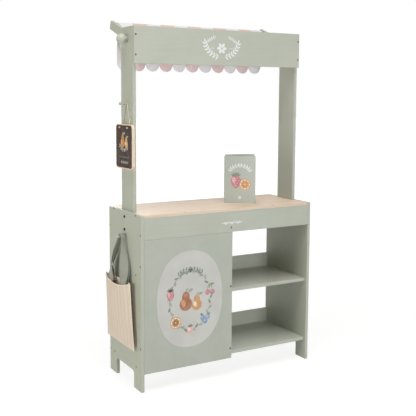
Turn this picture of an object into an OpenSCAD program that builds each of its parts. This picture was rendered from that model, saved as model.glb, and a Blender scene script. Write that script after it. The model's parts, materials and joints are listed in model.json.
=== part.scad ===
// Toy market stall: a painted cabinet with a wooden counter and open shelves, two posts that
// carry a sign board, and a striped awning that tilts on the posts. A cloth bag and a chalk
// sign hang on its left side and a folded menu card stands on the counter.
// Sizes are in millimetres. The stall stands on the floor at z = 0 and its front faces -Y.

/* [Cabinet] */
// Width over both side panels
stall_width = 600; // [560:1:720]
// Depth of the side panels from front to back
stall_depth = 228; // [210:1:300]
// Height of the counter above the floor
counter_height = 517; // [490:1:600]
// Thickness of every painted board
board = 10; // [8:0.5:12]
// Thickness of the wooden counter top
counter_thickness = 8; // [6:0.5:14]
// Height of the boards under the counter and behind the shelves
apron_height = 63; // [52:1:72]
// Width of each foot of a side panel
foot_width = 51; // [35:1:70]
// Height of the arch between the feet
arch_height = 51; // [30:1:53]
// Radius of the upper corners of the arch
arch_radius = 12; // [4:1:20]
// Radius of the upper corners of a side panel
panel_corner = 4; // [2:0.5:6]
// Width of the front panel that closes the left half
front_panel_width = 296; // [250:1:330]
// Height of the lower edge of the front panel above the floor
front_panel_rise = 53; // [44:1:60]
// Height of the underside of the bottom shelf above the floor
bottom_shelf_rise = 62; // [60:1:75]
// Height of the underside of the middle shelf above the floor
middle_shelf_rise = 259; // [220:1:300]
// Height of the underside of the inner shelf above the floor
inner_shelf_rise = 335; // [310:1:370]
// Drop of a shelf rail below the underside of its shelf
rail_drop = 8; // [4:1:14]
// Bevel along the board edges
edge_ease = 0.8; // [0.4:0.1:1.2]

/* [Posts and sign] */
// Width of a post from front to back
post_width = 83; // [70:1:100]
// Distance from the front of the stall to the posts
post_setback = 71; // [50:1:80]
// Height of the post tops above the floor
post_top = 1051; // [1000:1:1200]
// Length of a post below the counter surface
post_tail = 70; // [62:1:90]
// Height of the sign board
sign_height = 106; // [85:1:130]
// Drop of the upper post bolt below the counter surface
bolt_drop = 17; // [16:1:21]
// Distance between the two bolts of a post
bolt_spacing = 38; // [28:1:40]
// Diameter of a post bolt
bolt_diameter = 6; // [4:0.5:7]
// Diameter of a bolt head
bolt_head = 9; // [8:0.5:11]
// Width across the corners of a bolt nut
nut_width = 11; // [9:0.5:13]

/* [Screws] */
// Diameter of a screw head
screw_head = 6; // [4.5:0.5:7]
// Diameter of a screw shank
screw_shank = 3; // [2:0.5:4]
// Length of a screw
screw_length = 28; // [22:1:34]
// Distance of the shelf and counter screws from the front and back of a side panel
shelf_screw_inset = 36; // [20:1:45]
// Height of an apron screw above the lower edge of its apron
apron_screw_rise = 14; // [8:1:24]
// Distance of the side screws of the front panel from its upper and lower edges
panel_screw_inset = 76; // [40:1:110]
// Height of the lower front screw above the lower edge of the front panel
front_screw_low = 31; // [25:1:60]
// Height of the upper front screw above the lower edge of the front panel
front_screw_high = 226; // [160:1:250]
// Distance of the sign screws from the upper and lower edges of the sign
sign_screw_inset = 24.5; // [14:0.5:26]
// Distance of the counter screws from the middle of the stall
counter_screw_spread = 155; // [100:1:190]
// Distance of the rail screws from the ends of a rail
rail_screw_inset = 60; // [40:1:90]

/* [Awning] */
// Length of an awning arm from its pivot to its end
arm_length = 154; // [130:1:175]
// Width of an awning arm
arm_width = 26; // [22:1:30]
// Angle of the arms above level
arm_angle = 20; // [10:1:30]
// Drop of the pivot below the post tops
pivot_drop = 35; // [30:1:45]
// Diameter of the pivot rod
pivot_rod = 12; // [10:0.5:14]
// Diameter of the tip rod
tip_rod = 18; // [14:0.5:20]
// Diameter of the tenons of the tip rod
tip_tenon = 10; // [8:0.5:12]
// Distance from the end of an arm to the tip rod
tip_inset = 18; // [14:1:24]
// Diameter of a ball knob
knob_diameter = 29; // [25:0.5:34]
// Distance from a post to the centre of its knob
knob_standoff = 17; // [15:0.5:20]
// Diameter of the collar between a knob and its post
knob_collar = 18; // [16:0.5:20]
// Diameter of the washer between a post and its arm
washer_diameter = 22; // [18:0.5:25]
// Number of cloth stripes, each with its scallop
stripe_count = 11; // [7:2:15]
// Length of the valance below the tip rod
valance_drop = 134; // [110:1:160]
// Sag of the roof cloth between the rods
roof_sag = 5; // [2:0.5:8]
// Thickness of the awning cloth
cloth = 1; // [0.8:0.1:1.3]
// Distance from an arm to the edge of the cloth
cloth_side_gap = 5; // [3:0.5:12]

/* [Pegs] */
// Diameter of a hanging peg
peg_shank = 7; // [6:0.5:7.5]
// Diameter of the round head of a peg
peg_head = 9; // [8:0.5:12]
// Distance from a board to the centre of a peg head
peg_reach = 21.5; // [21:0.5:28]
// Depth of a peg in its board
peg_root = 7; // [4:0.5:7.5]

/* [Chalk sign] */
// Width of the chalk sign
chalk_width = 116; // [90:1:130]
// Height of the chalk sign
chalk_height = 130; // [110:1:170]
// Thickness of the chalk sign
chalk_thickness = 7.5; // [6.5:0.5:8]
// Radius of the corners of the chalk sign
chalk_corner = 13; // [6:0.5:18]
// Width of the bare wood round the dark panel
chalk_margin = 3; // [2:0.5:5]
// Thickness of the dark panel
chalk_panel_depth = 1; // [0.8:0.1:2]
// Share of the way from the counter up to the awning pivot at which the peg of the sign sits
sign_peg_share = 0.63; // [0.5:0.01:0.75]

/* [Cloth bag] */
// Width of the bag at its foot
bag_width = 196; // [170:1:210]
// How far each end of the mouth is drawn in when the bag is open
bag_draw = 9; // [0:0.5:12]
// How far the middle of the foot hangs behind the peg
bag_foot_back = 10; // [0:1:14]
// How far the middle of the mouth hangs behind the peg
bag_mouth_back = 18; // [0:1:22]
// Height of the bag
bag_height = 198; // [150:1:210]
// Width of the open mouth of the bag from the panel outwards
bag_mouth = 20; // [18:1:22]
// Width of the foot of the bag from the panel outwards
bag_foot = 6; // [5:0.5:9]
// Distance from the side panel to the middle of the mouth
bag_mouth_out = 16; // [15.5:0.5:17]
// Distance from the side panel to the middle of the foot
bag_foot_out = 11; // [9:0.5:14]
// Thickness of the bag cloth
bag_cloth = 1.2; // [1:0.1:1.5]
// Dip of the mouth in front
bag_front_dip = 16; // [6:1:22]
// Dip of the mouth behind
bag_back_dip = 4; // [0:1:6]
// Distance from the peg down to the mouth of the bag
bag_drop = 126; // [110:1:150]
// Drop of the bag peg below the counter surface
bag_peg_drop = 76; // [72:1:95]
// Width of a bag handle
handle_width = 38; // [26:1:40]
// Width of a handle gathered on the peg
handle_gather = 13; // [6:0.5:13.5]
// Thickness of a handle
handle_thickness = 1.6; // [1.2:0.1:1.8]
// Distance from the middle of the mouth to the middle of a handle end
handle_spread = 40; // [34:1:42]
// Length of a handle end inside the bag
handle_tuck = 18; // [10:1:30]
// Radius of the arch of a handle over its peg
handle_arch = 10; // [6:0.5:14]
// Outward bow of the handles between the peg and the bag
handle_bow = 6; // [2:0.5:8]

/* [Menu card] */
// Width of the folded menu card
menu_width = 98; // [80:1:110]
// Height of the menu card
menu_height = 150; // [120:1:180]
// How far the back leaf stands above the front leaf
menu_rise = 4; // [0:0.5:8]
// Thickness of one leaf
menu_leaf = 1.2; // [0.8:0.1:2]
// Distance of the spine from the left side of the stall
menu_place_x = 349; // [200:1:400]
// Distance of the spine from the front of the stall
menu_place_y = 119; // [100:1:140]
// Turn of the front leaf away from the front of the stall
menu_turn = 37; // [25:1:45]
// Angle between the two leaves
menu_opening = 18; // [10:1:40]

/* [Hidden] */

$fn = 48;

// Length by which a cut runs past the face it opens
overrun = 1;
// Clearance round a pin, screw or tenon in its hole
fit_gap = 0.05;
// Clearance between flat faces that turn on each other
running_gap = 0.2;
// Clearance between a soft piece and what it hangs on
soft_gap = 0.3;
// Clearance between the roof cloth and the sleeve of the valance below it
roof_gap = 0.8;
// Clearance round a post in its notch in the counter
notch_gap = 0.15;
// Clearance under the menu card
rest_gap = 0.1;
// Thickness of a screw head
screw_head_height = 2;
// Height of a bolt head
bolt_head_height = 3;
// Thickness of a nut
nut_thickness = 5;
// Thickness of a pivot washer
washer_thickness = 1;
// Height of the straight edge between two scallops below the middle of their rounds
cusp_drop = 3;
// Gap between two neighbouring scallop rounds
scallop_gap = 0.6;

// Heights of the boards above the floor
apron_rise = counter_height - counter_thickness - apron_height;
counter_middle = counter_height - counter_thickness / 2;
bottom_shelf_middle = bottom_shelf_rise + board / 2;
middle_shelf_middle = middle_shelf_rise + board / 2;
inner_shelf_middle = inner_shelf_rise + board / 2;
bottom_rail_rise = bottom_shelf_rise - rail_drop;
middle_rail_rise = middle_shelf_rise - rail_drop;
post_foot = counter_height - post_tail;
sign_rise = post_top - sign_height;

// Places across and along the stall
inside_width = stall_width - 2 * board;
divider_left = front_panel_width;
divider_right = front_panel_width + board;
back_face = stall_depth - board;
shelf_depth = stall_depth - 2 * board;
post_middle = post_setback + post_width / 2;
screw_rows = [shelf_screw_inset, stall_depth - shelf_screw_inset];
edge_rows = [board / 2, stall_depth - board / 2];
bolt_bore = bolt_diameter + 2 * fit_gap;

// Awning pivot, tip and cloth
pivot_rise = post_top - pivot_drop;
tip_reach = arm_length - tip_inset;
tip_y = post_middle + tip_reach * cos(arm_angle);
tip_z = pivot_rise + tip_reach * sin(arm_angle);
arm_left = 2 * board + running_gap + washer_thickness;
arm_inside = arm_left + board;
cloth_left = arm_inside + cloth_side_gap;
cloth_width = stall_width - 2 * cloth_left;
stripe_width = cloth_width / stripe_count;
sleeve_inner = tip_rod / 2 + soft_gap;
sleeve_outer = sleeve_inner + cloth;
roof_sleeve = pivot_rod / 2 + soft_gap + cloth / 2;
roof_flap = sleeve_outer + roof_gap + cloth / 2;
knob_place = board - knob_standoff;
arm_end_y = post_middle + arm_length * cos(arm_angle) + arm_width / 2 * sin(arm_angle);

// The origin is on the floor, midway across the stall and midway along its whole depth
overall_depth = max(stall_depth, arm_end_y);

// Pegs, chalk sign and bag
sign_peg_z = counter_height + sign_peg_share * (pivot_rise - counter_height);
bag_peg_z = counter_height - bag_peg_drop;
bag_floor = bag_peg_z - bag_drop - bag_height;

// Route of half the sign cord, from the knot of one hole through the board and up to the top of
// the peg: distance out from the post, distance from the middle of the post, height over the peg
cord_diameter = 2.2;
cord_half_route = [
    [12.5, 27, -70], [10.3, 27, -70], [8, 27, -70], [5.8, 27, -70], [3.7, 27, -69.4], [2.1, 27, -67.8],
    [1.5, 26.6, -65.5], [1.5, 21, -48], [1.5, 14, -27], [1.6, 7.3, -6], [1.8, 4.8, 1.7],
    [1.8, 2.9, 4.2], [1.8, 0, 5.1]
];
cord_hole = 6;
cord_hole_side = cord_half_route[0][1];
cord_hole_z = sign_peg_z + cord_half_route[0][2];
knot_diameter = 7;
chalk_gap = 3;
chalk_hole_drop = 10;
chalk_front = board - chalk_gap - chalk_thickness;
chalk_top = cord_hole_z + chalk_hole_drop;
chalk_middle = chalk_top - chalk_height / 2;

// Counts that set how finely the soft pieces are shaped
roof_steps = 10;
roof_arc_step = 15;
cord_sides = 8;
bag_sides = 28;
bag_rows = 7;
handle_steps = 18;
handle_arc_step = 14;

// Angle at which the handles leave the peg
handle_lean = 20;

// Colours
sage = [0.70, 0.72, 0.66];
pale_wood = [0.87, 0.76, 0.62];
screw_brown = [0.47, 0.36, 0.30];
black_steel = [0.16, 0.15, 0.14];
steel = [0.75, 0.76, 0.76];
blush = [0.90, 0.72, 0.67];
natural_cord = [0.82, 0.77, 0.66];
chalk_dark = [0.30, 0.25, 0.24];
bag_beige = [0.86, 0.80, 0.72];
handle_grey = [0.62, 0.63, 0.57];

// The whole stall moved from its left front corner to the origin
module in_place() {
    translate([-stall_width / 2, -overall_depth / 2, 0]) children();
}

// The same shape on the other side of the stall
module on_right_side() {
    translate([stall_width, 0, 0]) mirror([1, 0, 0]) children();
}

// A rectangle with its corners cut back by the edge bevel
module eased_outline(width, height) {
    polygon([
        [edge_ease, 0], [width - edge_ease, 0], [width, edge_ease], [width, height - edge_ease],
        [width - edge_ease, height], [edge_ease, height], [0, height - edge_ease], [0, edge_ease]
    ]);
}

// A board with a bevel along every edge
module eased_board(size) {
    intersection() {
        linear_extrude(size.z) eased_outline(size.x, size.y);
        translate([0, size.y, 0]) rotate([90, 0, 0]) linear_extrude(size.y) eased_outline(size.x, size.z);
        rotate([90, 0, 90]) linear_extrude(size.x) eased_outline(size.y, size.z);
    }
}

// A centred rectangle with round corners
module round_outline(width, height, radius) {
    square([width - 2 * radius, height], center = true);
    square([width, height - 2 * radius], center = true);
    for (side = [-1, 1], end = [-1, 1]) {
        translate([side * (width / 2 - radius), end * (height / 2 - radius)]) circle(radius);
    }
}

// A rod along +X
module rod_along(length, diameter) {
    rotate([0, 90, 0]) cylinder(h = length, d = diameter);
}

// A screw along +Z with its head flush at z = 0
module screw() {
    cylinder(h = screw_head_height, d = screw_head);
    cylinder(h = screw_length, d = screw_shank);
}

// The hole of a screw, open past its head
module screw_hole() {
    translate([0, 0, -overrun]) cylinder(h = screw_head_height + overrun, d = screw_head + 2 * fit_gap);
    cylinder(h = screw_length + fit_gap, d = screw_shank + 2 * fit_gap);
}

// Places on a side panel, as depth and height, of the screws that both panels have
shared_places = [
    for (y = screw_rows) [y, counter_middle],
    for (y = screw_rows) [y, bottom_shelf_middle],
    for (y = edge_rows) [y, apron_rise + apron_screw_rise],
    [stall_depth - board / 2, bottom_rail_rise + apron_screw_rise]
];
left_places = [
    each shared_places,
    for (y = screw_rows) [y, inner_shelf_middle],
    [board / 2, front_panel_rise + panel_screw_inset],
    [board / 2, apron_rise - panel_screw_inset]
];
right_places = [
    each shared_places,
    for (y = screw_rows) [y, middle_shelf_middle],
    [stall_depth - board / 2, middle_rail_rise + apron_screw_rise]
];

module at_left_screws() {
    for (place = left_places) translate([0, place[0], place[1]]) rotate([0, 90, 0]) children();
}

module at_right_screws() {
    for (place = right_places) translate([stall_width, place[0], place[1]]) rotate([0, -90, 0]) children();
}

module side_screw_holes() {
    at_left_screws() screw_hole();
    at_right_screws() screw_hole();
}

// Screws through the front boards into the divider
module at_front_screws() {
    heights = [
        apron_rise + apron_screw_rise,
        front_panel_rise + front_screw_low,
        front_panel_rise + front_screw_high
    ];
    for (z = heights) translate([divider_left + board / 2, 0, z]) rotate([-90, 0, 0]) children();
}

// Screws through the counter into both aprons
module at_counter_screws() {
    for (side = [-1, 1], y = edge_rows) {
        x = stall_width / 2 + side * counter_screw_spread;
        translate([x, y, counter_height]) rotate([180, 0, 0]) children();
    }
}

// Screws through the divider into the middle shelf on one side and the inner shelf on the other
module at_divider_screws() {
    for (y = screw_rows) {
        translate([divider_left, y, middle_shelf_middle]) rotate([0, 90, 0]) children();
        translate([divider_right, y, inner_shelf_middle]) rotate([0, -90, 0]) children();
    }
}

// Screws through the rails into the back edges of their shelves
module at_rail_screws() {
    right_end = stall_width - board - rail_screw_inset;
    for (x = [board + rail_screw_inset, right_end]) {
        translate([x, stall_depth, bottom_shelf_middle]) rotate([90, 0, 0]) children();
    }
    for (x = [divider_right + rail_screw_inset, right_end]) {
        translate([x, stall_depth, middle_shelf_middle]) rotate([90, 0, 0]) children();
    }
}

// Screws through the sign board into the front edges of the posts
module at_sign_screws() {
    columns = [1.5 * board, stall_width - 1.5 * board];
    heights = [sign_rise + sign_screw_inset, post_top - sign_screw_inset];
    for (x = columns, z = heights) translate([x, post_setback - board, z]) rotate([-90, 0, 0]) children();
}

// Bolt places of the left post, from the outer face of the side panel
module at_post_bolts() {
    for (drop = [bolt_drop, bolt_drop + bolt_spacing]) {
        translate([0, post_middle, counter_height - drop]) children();
    }
}

// Outline of a side panel with its arch and rounded upper corners
module side_outline() {
    arch_width = stall_depth - 2 * foot_width;
    level_width = arch_width - 2 * arch_radius;
    difference() {
        union() {
            square([stall_depth, counter_height - panel_corner]);
            translate([panel_corner, 0]) square([stall_depth - 2 * panel_corner, counter_height]);
            for (y = [panel_corner, stall_depth - panel_corner]) {
                translate([y, counter_height - panel_corner]) circle(panel_corner);
            }
        }
        translate([foot_width, -overrun]) square([arch_width, arch_height - arch_radius + overrun]);
        translate([foot_width + arch_radius, -overrun]) square([level_width, arch_height + overrun]);
        for (y = [foot_width + arch_radius, foot_width + arch_width - arch_radius]) {
            translate([y, arch_height - arch_radius]) circle(arch_radius);
        }
    }
}

// A side panel at the left of the stall with the holes of the post bolts
module side_board() {
    difference() {
        intersection() {
            rotate([90, 0, 90]) linear_extrude(board) side_outline();
            eased_board([board, stall_depth, counter_height]);
        }
        at_post_bolts() translate([-overrun, 0, 0]) rod_along(board + 2 * overrun, bolt_bore);
    }
}

module left_side_panel() {
    color(sage) in_place() difference() {
        side_board();
        at_left_screws() screw_hole();
        at_bag_peg() peg_hole();
    }
}

module right_side_panel() {
    color(sage) in_place() difference() {
        on_right_side() side_board();
        at_right_screws() screw_hole();
    }
}

// The counter lies between the side panels and is notched round the posts
module counter_top() {
    notch = [board + notch_gap + overrun, post_width + 2 * notch_gap, counter_thickness + 2 * overrun];
    notch_base = counter_height - counter_thickness - overrun;
    color(pale_wood) in_place() difference() {
        translate([board, 0, counter_height - counter_thickness]) {
            eased_board([inside_width, stall_depth, counter_thickness]);
        }
        translate([board - overrun, post_setback - notch_gap, notch_base]) cube(notch);
        on_right_side() translate([board - overrun, post_setback - notch_gap, notch_base]) cube(notch);
        side_screw_holes();
        at_counter_screws() screw_hole();
    }
}

module front_apron() {
    color(sage) in_place() difference() {
        translate([board, 0, apron_rise]) eased_board([inside_width, board, apron_height]);
        side_screw_holes();
        at_counter_screws() screw_hole();
        at_front_screws() screw_hole();
    }
}

module back_apron() {
    color(sage) in_place() difference() {
        translate([board, back_face, apron_rise]) eased_board([inside_width, board, apron_height]);
        side_screw_holes();
        at_counter_screws() screw_hole();
    }
}

module front_panel() {
    color(sage) in_place() difference() {
        translate([board, 0, front_panel_rise]) {
            eased_board([front_panel_width, board, apron_rise - front_panel_rise]);
        }
        at_left_screws() screw_hole();
        at_front_screws() screw_hole();
    }
}

// The divider stands on the bottom shelf behind the right edge of the front panel
module divider() {
    foot = bottom_shelf_rise + board;
    color(sage) in_place() difference() {
        translate([divider_left, board, foot]) {
            eased_board([board, shelf_depth, counter_height - counter_thickness - foot]);
        }
        at_front_screws() screw_hole();
        at_divider_screws() screw_hole();
    }
}

module bottom_shelf() {
    color(sage) in_place() difference() {
        translate([board, board, bottom_shelf_rise]) eased_board([inside_width, shelf_depth, board]);
        side_screw_holes();
        at_rail_screws() screw_hole();
    }
}

module middle_shelf() {
    color(sage) in_place() difference() {
        translate([divider_right, board, middle_shelf_rise]) {
            eased_board([stall_width - board - divider_right, shelf_depth, board]);
        }
        at_right_screws() screw_hole();
        at_divider_screws() screw_hole();
        at_rail_screws() screw_hole();
    }
}

module inner_shelf() {
    color(sage) in_place() difference() {
        translate([board, board, inner_shelf_rise]) {
            eased_board([divider_left - board, shelf_depth, board]);
        }
        at_left_screws() screw_hole();
        at_divider_screws() screw_hole();
    }
}

module bottom_rail() {
    color(sage) in_place() difference() {
        translate([board, back_face, bottom_rail_rise]) eased_board([inside_width, board, apron_height]);
        side_screw_holes();
        at_rail_screws() screw_hole();
    }
}

module middle_rail() {
    color(sage) in_place() difference() {
        translate([divider_left, back_face, middle_rail_rise]) {
            eased_board([stall_width - board - divider_left, board, apron_height]);
        }
        at_right_screws() screw_hole();
        at_rail_screws() screw_hole();
    }
}

// A post on the inner side of the left panel, with its pivot bore and its bolt holes
module post() {
    difference() {
        translate([board, post_setback, post_foot]) eased_board([board, post_width, post_top - post_foot]);
        at_post_bolts() rod_along(2 * board + overrun, bolt_bore);
        translate([board - overrun, post_middle, pivot_rise]) {
            rod_along(board + 2 * overrun, pivot_rod + 2 * fit_gap);
        }
    }
}

module left_post() {
    color(sage) in_place() difference() {
        post();
        at_sign_screws() screw_hole();
        at_sign_peg() peg_hole();
    }
}

module right_post() {
    color(sage) in_place() difference() {
        on_right_side() post();
        at_sign_screws() screw_hole();
    }
}

module sign_board() {
    color(sage) in_place() difference() {
        translate([board, post_setback - board, sign_rise]) eased_board([inside_width, board, sign_height]);
        at_sign_screws() screw_hole();
    }
}

// A domed bolt through a side panel and a post
module post_bolt() {
    dome = (bolt_head_height * bolt_head_height + bolt_head * bolt_head / 4) / (2 * bolt_head_height);
    rotate([0, 90, 0]) {
        cylinder(h = 2 * board + nut_thickness, d = bolt_diameter);
        intersection() {
            translate([0, 0, dome - bolt_head_height]) sphere(dome);
            translate([0, 0, -bolt_head_height]) cylinder(h = bolt_head_height, d = bolt_head);
        }
    }
}

module post_bolts() {
    color(black_steel) in_place() {
        at_post_bolts() post_bolt();
        on_right_side() at_post_bolts() post_bolt();
    }
}

// A six-sided nut on the inner face of a post
module post_nut() {
    translate([2 * board, 0, 0]) rotate([0, 90, 0]) difference() {
        cylinder(h = nut_thickness, d = nut_width, $fn = 6);
        translate([0, 0, -overrun]) cylinder(h = nut_thickness + 2 * overrun, d = bolt_bore);
    }
}

module post_nuts() {
    color(steel) in_place() {
        at_post_bolts() post_nut();
        on_right_side() at_post_bolts() post_nut();
    }
}

module left_panel_screws() {
    color(screw_brown) in_place() at_left_screws() screw();
}

module right_panel_screws() {
    color(screw_brown) in_place() at_right_screws() screw();
}

module front_screws() {
    color(screw_brown) in_place() at_front_screws() screw();
}

module counter_screws() {
    color(screw_brown) in_place() at_counter_screws() screw();
}

module divider_screws() {
    color(screw_brown) in_place() at_divider_screws() screw();
}

module rail_screws() {
    color(screw_brown) in_place() at_rail_screws() screw();
}

module sign_screws() {
    color(screw_brown) in_place() at_sign_screws() screw();
}

// The awning frame's own axes: +Y along the arms from the pivot, +Z up from the cloth
module along_arms() {
    translate([0, post_middle, pivot_rise]) rotate([arm_angle, 0, 0]) children();
}

// A flat arm, round at its pivot and square at its end
module awning_arm() {
    along_arms() translate([arm_left, 0, 0]) difference() {
        rotate([90, 0, 90]) linear_extrude(board) {
            circle(d = arm_width);
            translate([0, -arm_width / 2]) square([arm_length, arm_width]);
        }
        translate([-overrun, 0, 0]) rod_along(board + 2 * overrun, pivot_rod + 2 * fit_gap);
        translate([-overrun, tip_reach, 0]) rod_along(board + 2 * overrun, tip_tenon + 2 * fit_gap);
    }
}

module left_awning_arm() {
    color(sage) in_place() awning_arm();
}

module right_awning_arm() {
    color(sage) in_place() on_right_side() awning_arm();
}

// The pivot rod runs through both posts into the knobs
module pivot_rod() {
    color(pale_wood) in_place() translate([knob_place, post_middle, pivot_rise]) {
        rod_along(stall_width - 2 * knob_place, pivot_rod);
    }
}

// The tip rod sits between the arms with a tenon in each
module tip_rod() {
    color(pale_wood) in_place() along_arms() {
        translate([arm_inside, tip_reach, 0]) rod_along(stall_width - 2 * arm_inside, tip_rod);
        translate([arm_left, tip_reach, 0]) rod_along(stall_width - 2 * arm_left, tip_tenon);
    }
}

module pivot_washer() {
    translate([2 * board + running_gap, post_middle, pivot_rise]) difference() {
        rod_along(washer_thickness, washer_diameter);
        translate([-overrun, 0, 0]) rod_along(washer_thickness + 2 * overrun, pivot_rod + 2 * fit_gap);
    }
}

module pivot_washers() {
    color(steel) in_place() {
        pivot_washer();
        on_right_side() pivot_washer();
    }
}

// A turned ball knob with a collar against the post and a blind bore for the pivot rod
module ball_knob() {
    collar_length = knob_standoff - running_gap;
    translate([knob_place, post_middle, pivot_rise]) rotate([0, 90, 0]) difference() {
        union() {
            sphere(d = knob_diameter);
            cylinder(h = collar_length, d = knob_collar);
        }
        translate([0, 0, -fit_gap]) cylinder(h = collar_length + overrun, d = pivot_rod + 2 * fit_gap);
    }
}

module left_knob() {
    color(sage) in_place() ball_knob();
}

module right_knob() {
    color(sage) in_place() on_right_side() ball_knob();
}

// Side profile of the roof cloth: round the pivot rod, along a shallow sag and over the tip rod
function round_point(centre, radius, angle) = centre + radius * [cos(angle), sin(angle)];
roof_path = [
    for (angle = [300 : -roof_arc_step : 90]) round_point([0, 0], roof_sleeve, angle),
    for (i = [1 : roof_steps - 1]) let (u = i / roof_steps) [
        tip_reach * u,
        roof_sleeve + (roof_flap - roof_sleeve) * u - 4 * roof_sag * u * (1 - u)
    ],
    for (angle = [90 : -roof_arc_step : 0]) round_point([tip_reach, 0], roof_flap, angle)
];
function path_normal(path, i) = let (
    before = path[max(i - 1, 0)],
    after = path[min(i + 1, len(path) - 1)],
    along = (after - before) / norm(after - before)
) [-along[1], along[0]];
function beside_path(path, distance) = [
    for (i = [0 : len(path) - 1]) path[i] + distance * path_normal(path, i)
];
function reversed(list) = [for (i = [len(list) - 1 : -1 : 0]) list[i]];

module awning_roof() {
    outline = concat(beside_path(roof_path, cloth / 2), reversed(beside_path(roof_path, -cloth / 2)));
    color(blush) in_place() along_arms() translate([cloth_left, 0, 0]) {
        rotate([90, 0, 90]) linear_extrude(cloth_width) polygon(outline);
    }
}

// Outline of the hanging valance, from the tip rod down to a round scallop for each stripe
module valance_outline() {
    scallop_line = stripe_width / 2 - valance_drop;
    lower_edge = scallop_line - cusp_drop;
    translate([0, lower_edge]) square([cloth_width, -sleeve_outer - fit_gap - lower_edge]);
    for (i = [0 : stripe_count - 1]) {
        translate([(i + 0.5) * stripe_width, scallop_line]) circle(d = stripe_width - scallop_gap);
    }
}

// The valance hangs straight down from its sleeve
module awning_valance() {
    color(blush) in_place() translate([cloth_left, tip_y + cloth / 2, tip_z]) {
        rotate([90, 0, 0]) linear_extrude(cloth) valance_outline();
    }
}

// The sleeve of the valance round the tip rod
module valance_sleeve() {
    color(blush) in_place() translate([cloth_left, tip_y, tip_z]) difference() {
        rod_along(cloth_width, 2 * sleeve_outer);
        translate([-overrun, 0, 0]) rod_along(cloth_width + 2 * overrun, 2 * sleeve_inner);
    }
}

// A round-headed peg that stands out along -X from the face at x = 0
module peg() {
    rotate([0, 90, 0]) translate([0, 0, -peg_reach]) {
        cylinder(h = peg_reach + peg_root, d = peg_shank);
        sphere(d = peg_head);
    }
}

module peg_hole() {
    translate([-overrun, 0, 0]) rod_along(overrun + peg_root + fit_gap, peg_shank + 2 * fit_gap);
}

module at_sign_peg() {
    translate([board, post_middle, sign_peg_z]) children();
}

module at_bag_peg() {
    translate([0, post_middle, bag_peg_z]) children();
}

module sign_peg() {
    color(sage) in_place() at_sign_peg() peg();
}

module bag_peg() {
    color(sage) in_place() at_bag_peg() peg();
}

// Holes of the chalk sign for its cord
module cord_holes(length) {
    for (side = [-1, 1]) {
        translate([-overrun, side * cord_hole_side, cord_hole_z - chalk_middle]) {
            rod_along(length + 2 * overrun, cord_hole);
        }
    }
}

module dark_outline(gap) {
    inset = 2 * (chalk_margin + gap);
    round_outline(chalk_width - inset, chalk_height - inset, chalk_corner - chalk_margin - gap);
}

// A wooden board with a shallow recess in front for the dark panel
module chalk_board() {
    color(pale_wood) in_place() translate([chalk_front, post_middle, chalk_middle]) difference() {
        rotate([90, 0, 90]) linear_extrude(chalk_thickness) {
            round_outline(chalk_width, chalk_height, chalk_corner);
        }
        translate([-overrun, 0, 0]) rotate([90, 0, 90]) {
            linear_extrude(chalk_panel_depth + overrun) dark_outline(0);
        }
        cord_holes(chalk_thickness);
    }
}

module chalk_panel() {
    color(chalk_dark) in_place() translate([chalk_front, post_middle, chalk_middle]) difference() {
        rotate([90, 0, 90]) linear_extrude(chalk_panel_depth) dark_outline(fit_gap);
        cord_holes(chalk_panel_depth);
    }
}

// Closed skin over a row of rings that have the same number of points
module skin(rings) {
    count = len(rings[0]);
    last = len(rings) - 1;
    sides = [
        for (r = [0 : last - 1], k = [0 : count - 1]) let (
            a = r * count + k, b = r * count + (k + 1) % count
        ) each [[a, a + count, b], [b, a + count, b + count]]
    ];
    first_cap = [for (k = [1 : count - 2]) [0, k, k + 1]];
    last_cap = [for (k = [1 : count - 2]) [last * count, last * count + k + 1, last * count + k]];
    all_points = [for (ring = rings) each ring];
    polyhedron(points = all_points, faces = concat(sides, first_cap, last_cap), convexity = 8);
}

function unit(v) = v / norm(v);
function path_tangent(path, i) = unit(path[min(i + 1, len(path) - 1)] - path[max(i - 1, 0)]);
function square_to(v, along) = unit(v - (v * along) * along);

// Rings of a round tube along a path
function tube_rings(path, radius, sides) = [
    for (
        i = 0, across = square_to([0, 1, 0], path_tangent(path, 0));
        i < len(path);
        i = i + 1, across = square_to(across, path_tangent(path, min(i, len(path) - 1)))
    ) let (up = cross(path_tangent(path, i), across)) [
        for (k = [0 : sides - 1]) let (angle = -360 * k / sides)
            path[i] + radius * (cos(angle) * across + sin(angle) * up)
    ]
];

cord_last = len(cord_half_route) - 1;
cord_route = [
    each cord_half_route,
    for (i = [cord_last - 1 : -1 : 0]) let (p = cord_half_route[i]) [p[0], -p[1], p[2]]
];

// One cord from knot to knot, through both holes and over the peg
module sign_cord() {
    path = [for (p = cord_route) [board - p[0], post_middle + p[1], sign_peg_z + p[2]]];
    color(natural_cord) in_place() skin(tube_rings(path, cord_diameter / 2, cord_sides));
}

// A knot in front of each cord hole, bored for the end of the cord
module cord_knots() {
    knot_out = cord_half_route[0][0];
    color(natural_cord) in_place() {
        for (side = [-1, 1]) {
            place = [board - knot_out, post_middle + side * cord_hole_side, cord_hole_z];
            translate(place) rotate([0, 90, 0]) difference() {
                sphere(d = knot_diameter);
                translate([0, 0, -soft_gap]) cylinder(h = knot_diameter, d = cord_diameter + 2 * soft_gap);
            }
        }
    }
}

// One ring round the bag at a level from 0 at its foot to 1 at its mouth, set in by a wall
bag_edge_share = 0.2;
function bag_ring(level, inset) = [
    for (k = [0 : bag_sides - 1]) let (
        angle = 360 * k / bag_sides,
        out = sin(angle),
        dip = out > 0 ? bag_front_dip : bag_back_dip,
        half_depth = (bag_foot + (bag_mouth - bag_foot) * sin(90 * level)) / 2 - inset,
        middle = bag_foot_out + (bag_mouth_out - bag_foot_out) * level,
        half_width = bag_width / 2 - bag_draw * level - inset,
        back = bag_foot_back + (bag_mouth_back - bag_foot_back) * level,
        top = bag_height - dip * out * out
    ) [
        -middle - half_depth * out * pow(abs(out), bag_edge_share),
        post_middle + back + half_width * cos(angle),
        bag_floor + inset + (top - inset) * level
    ]
];

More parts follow.
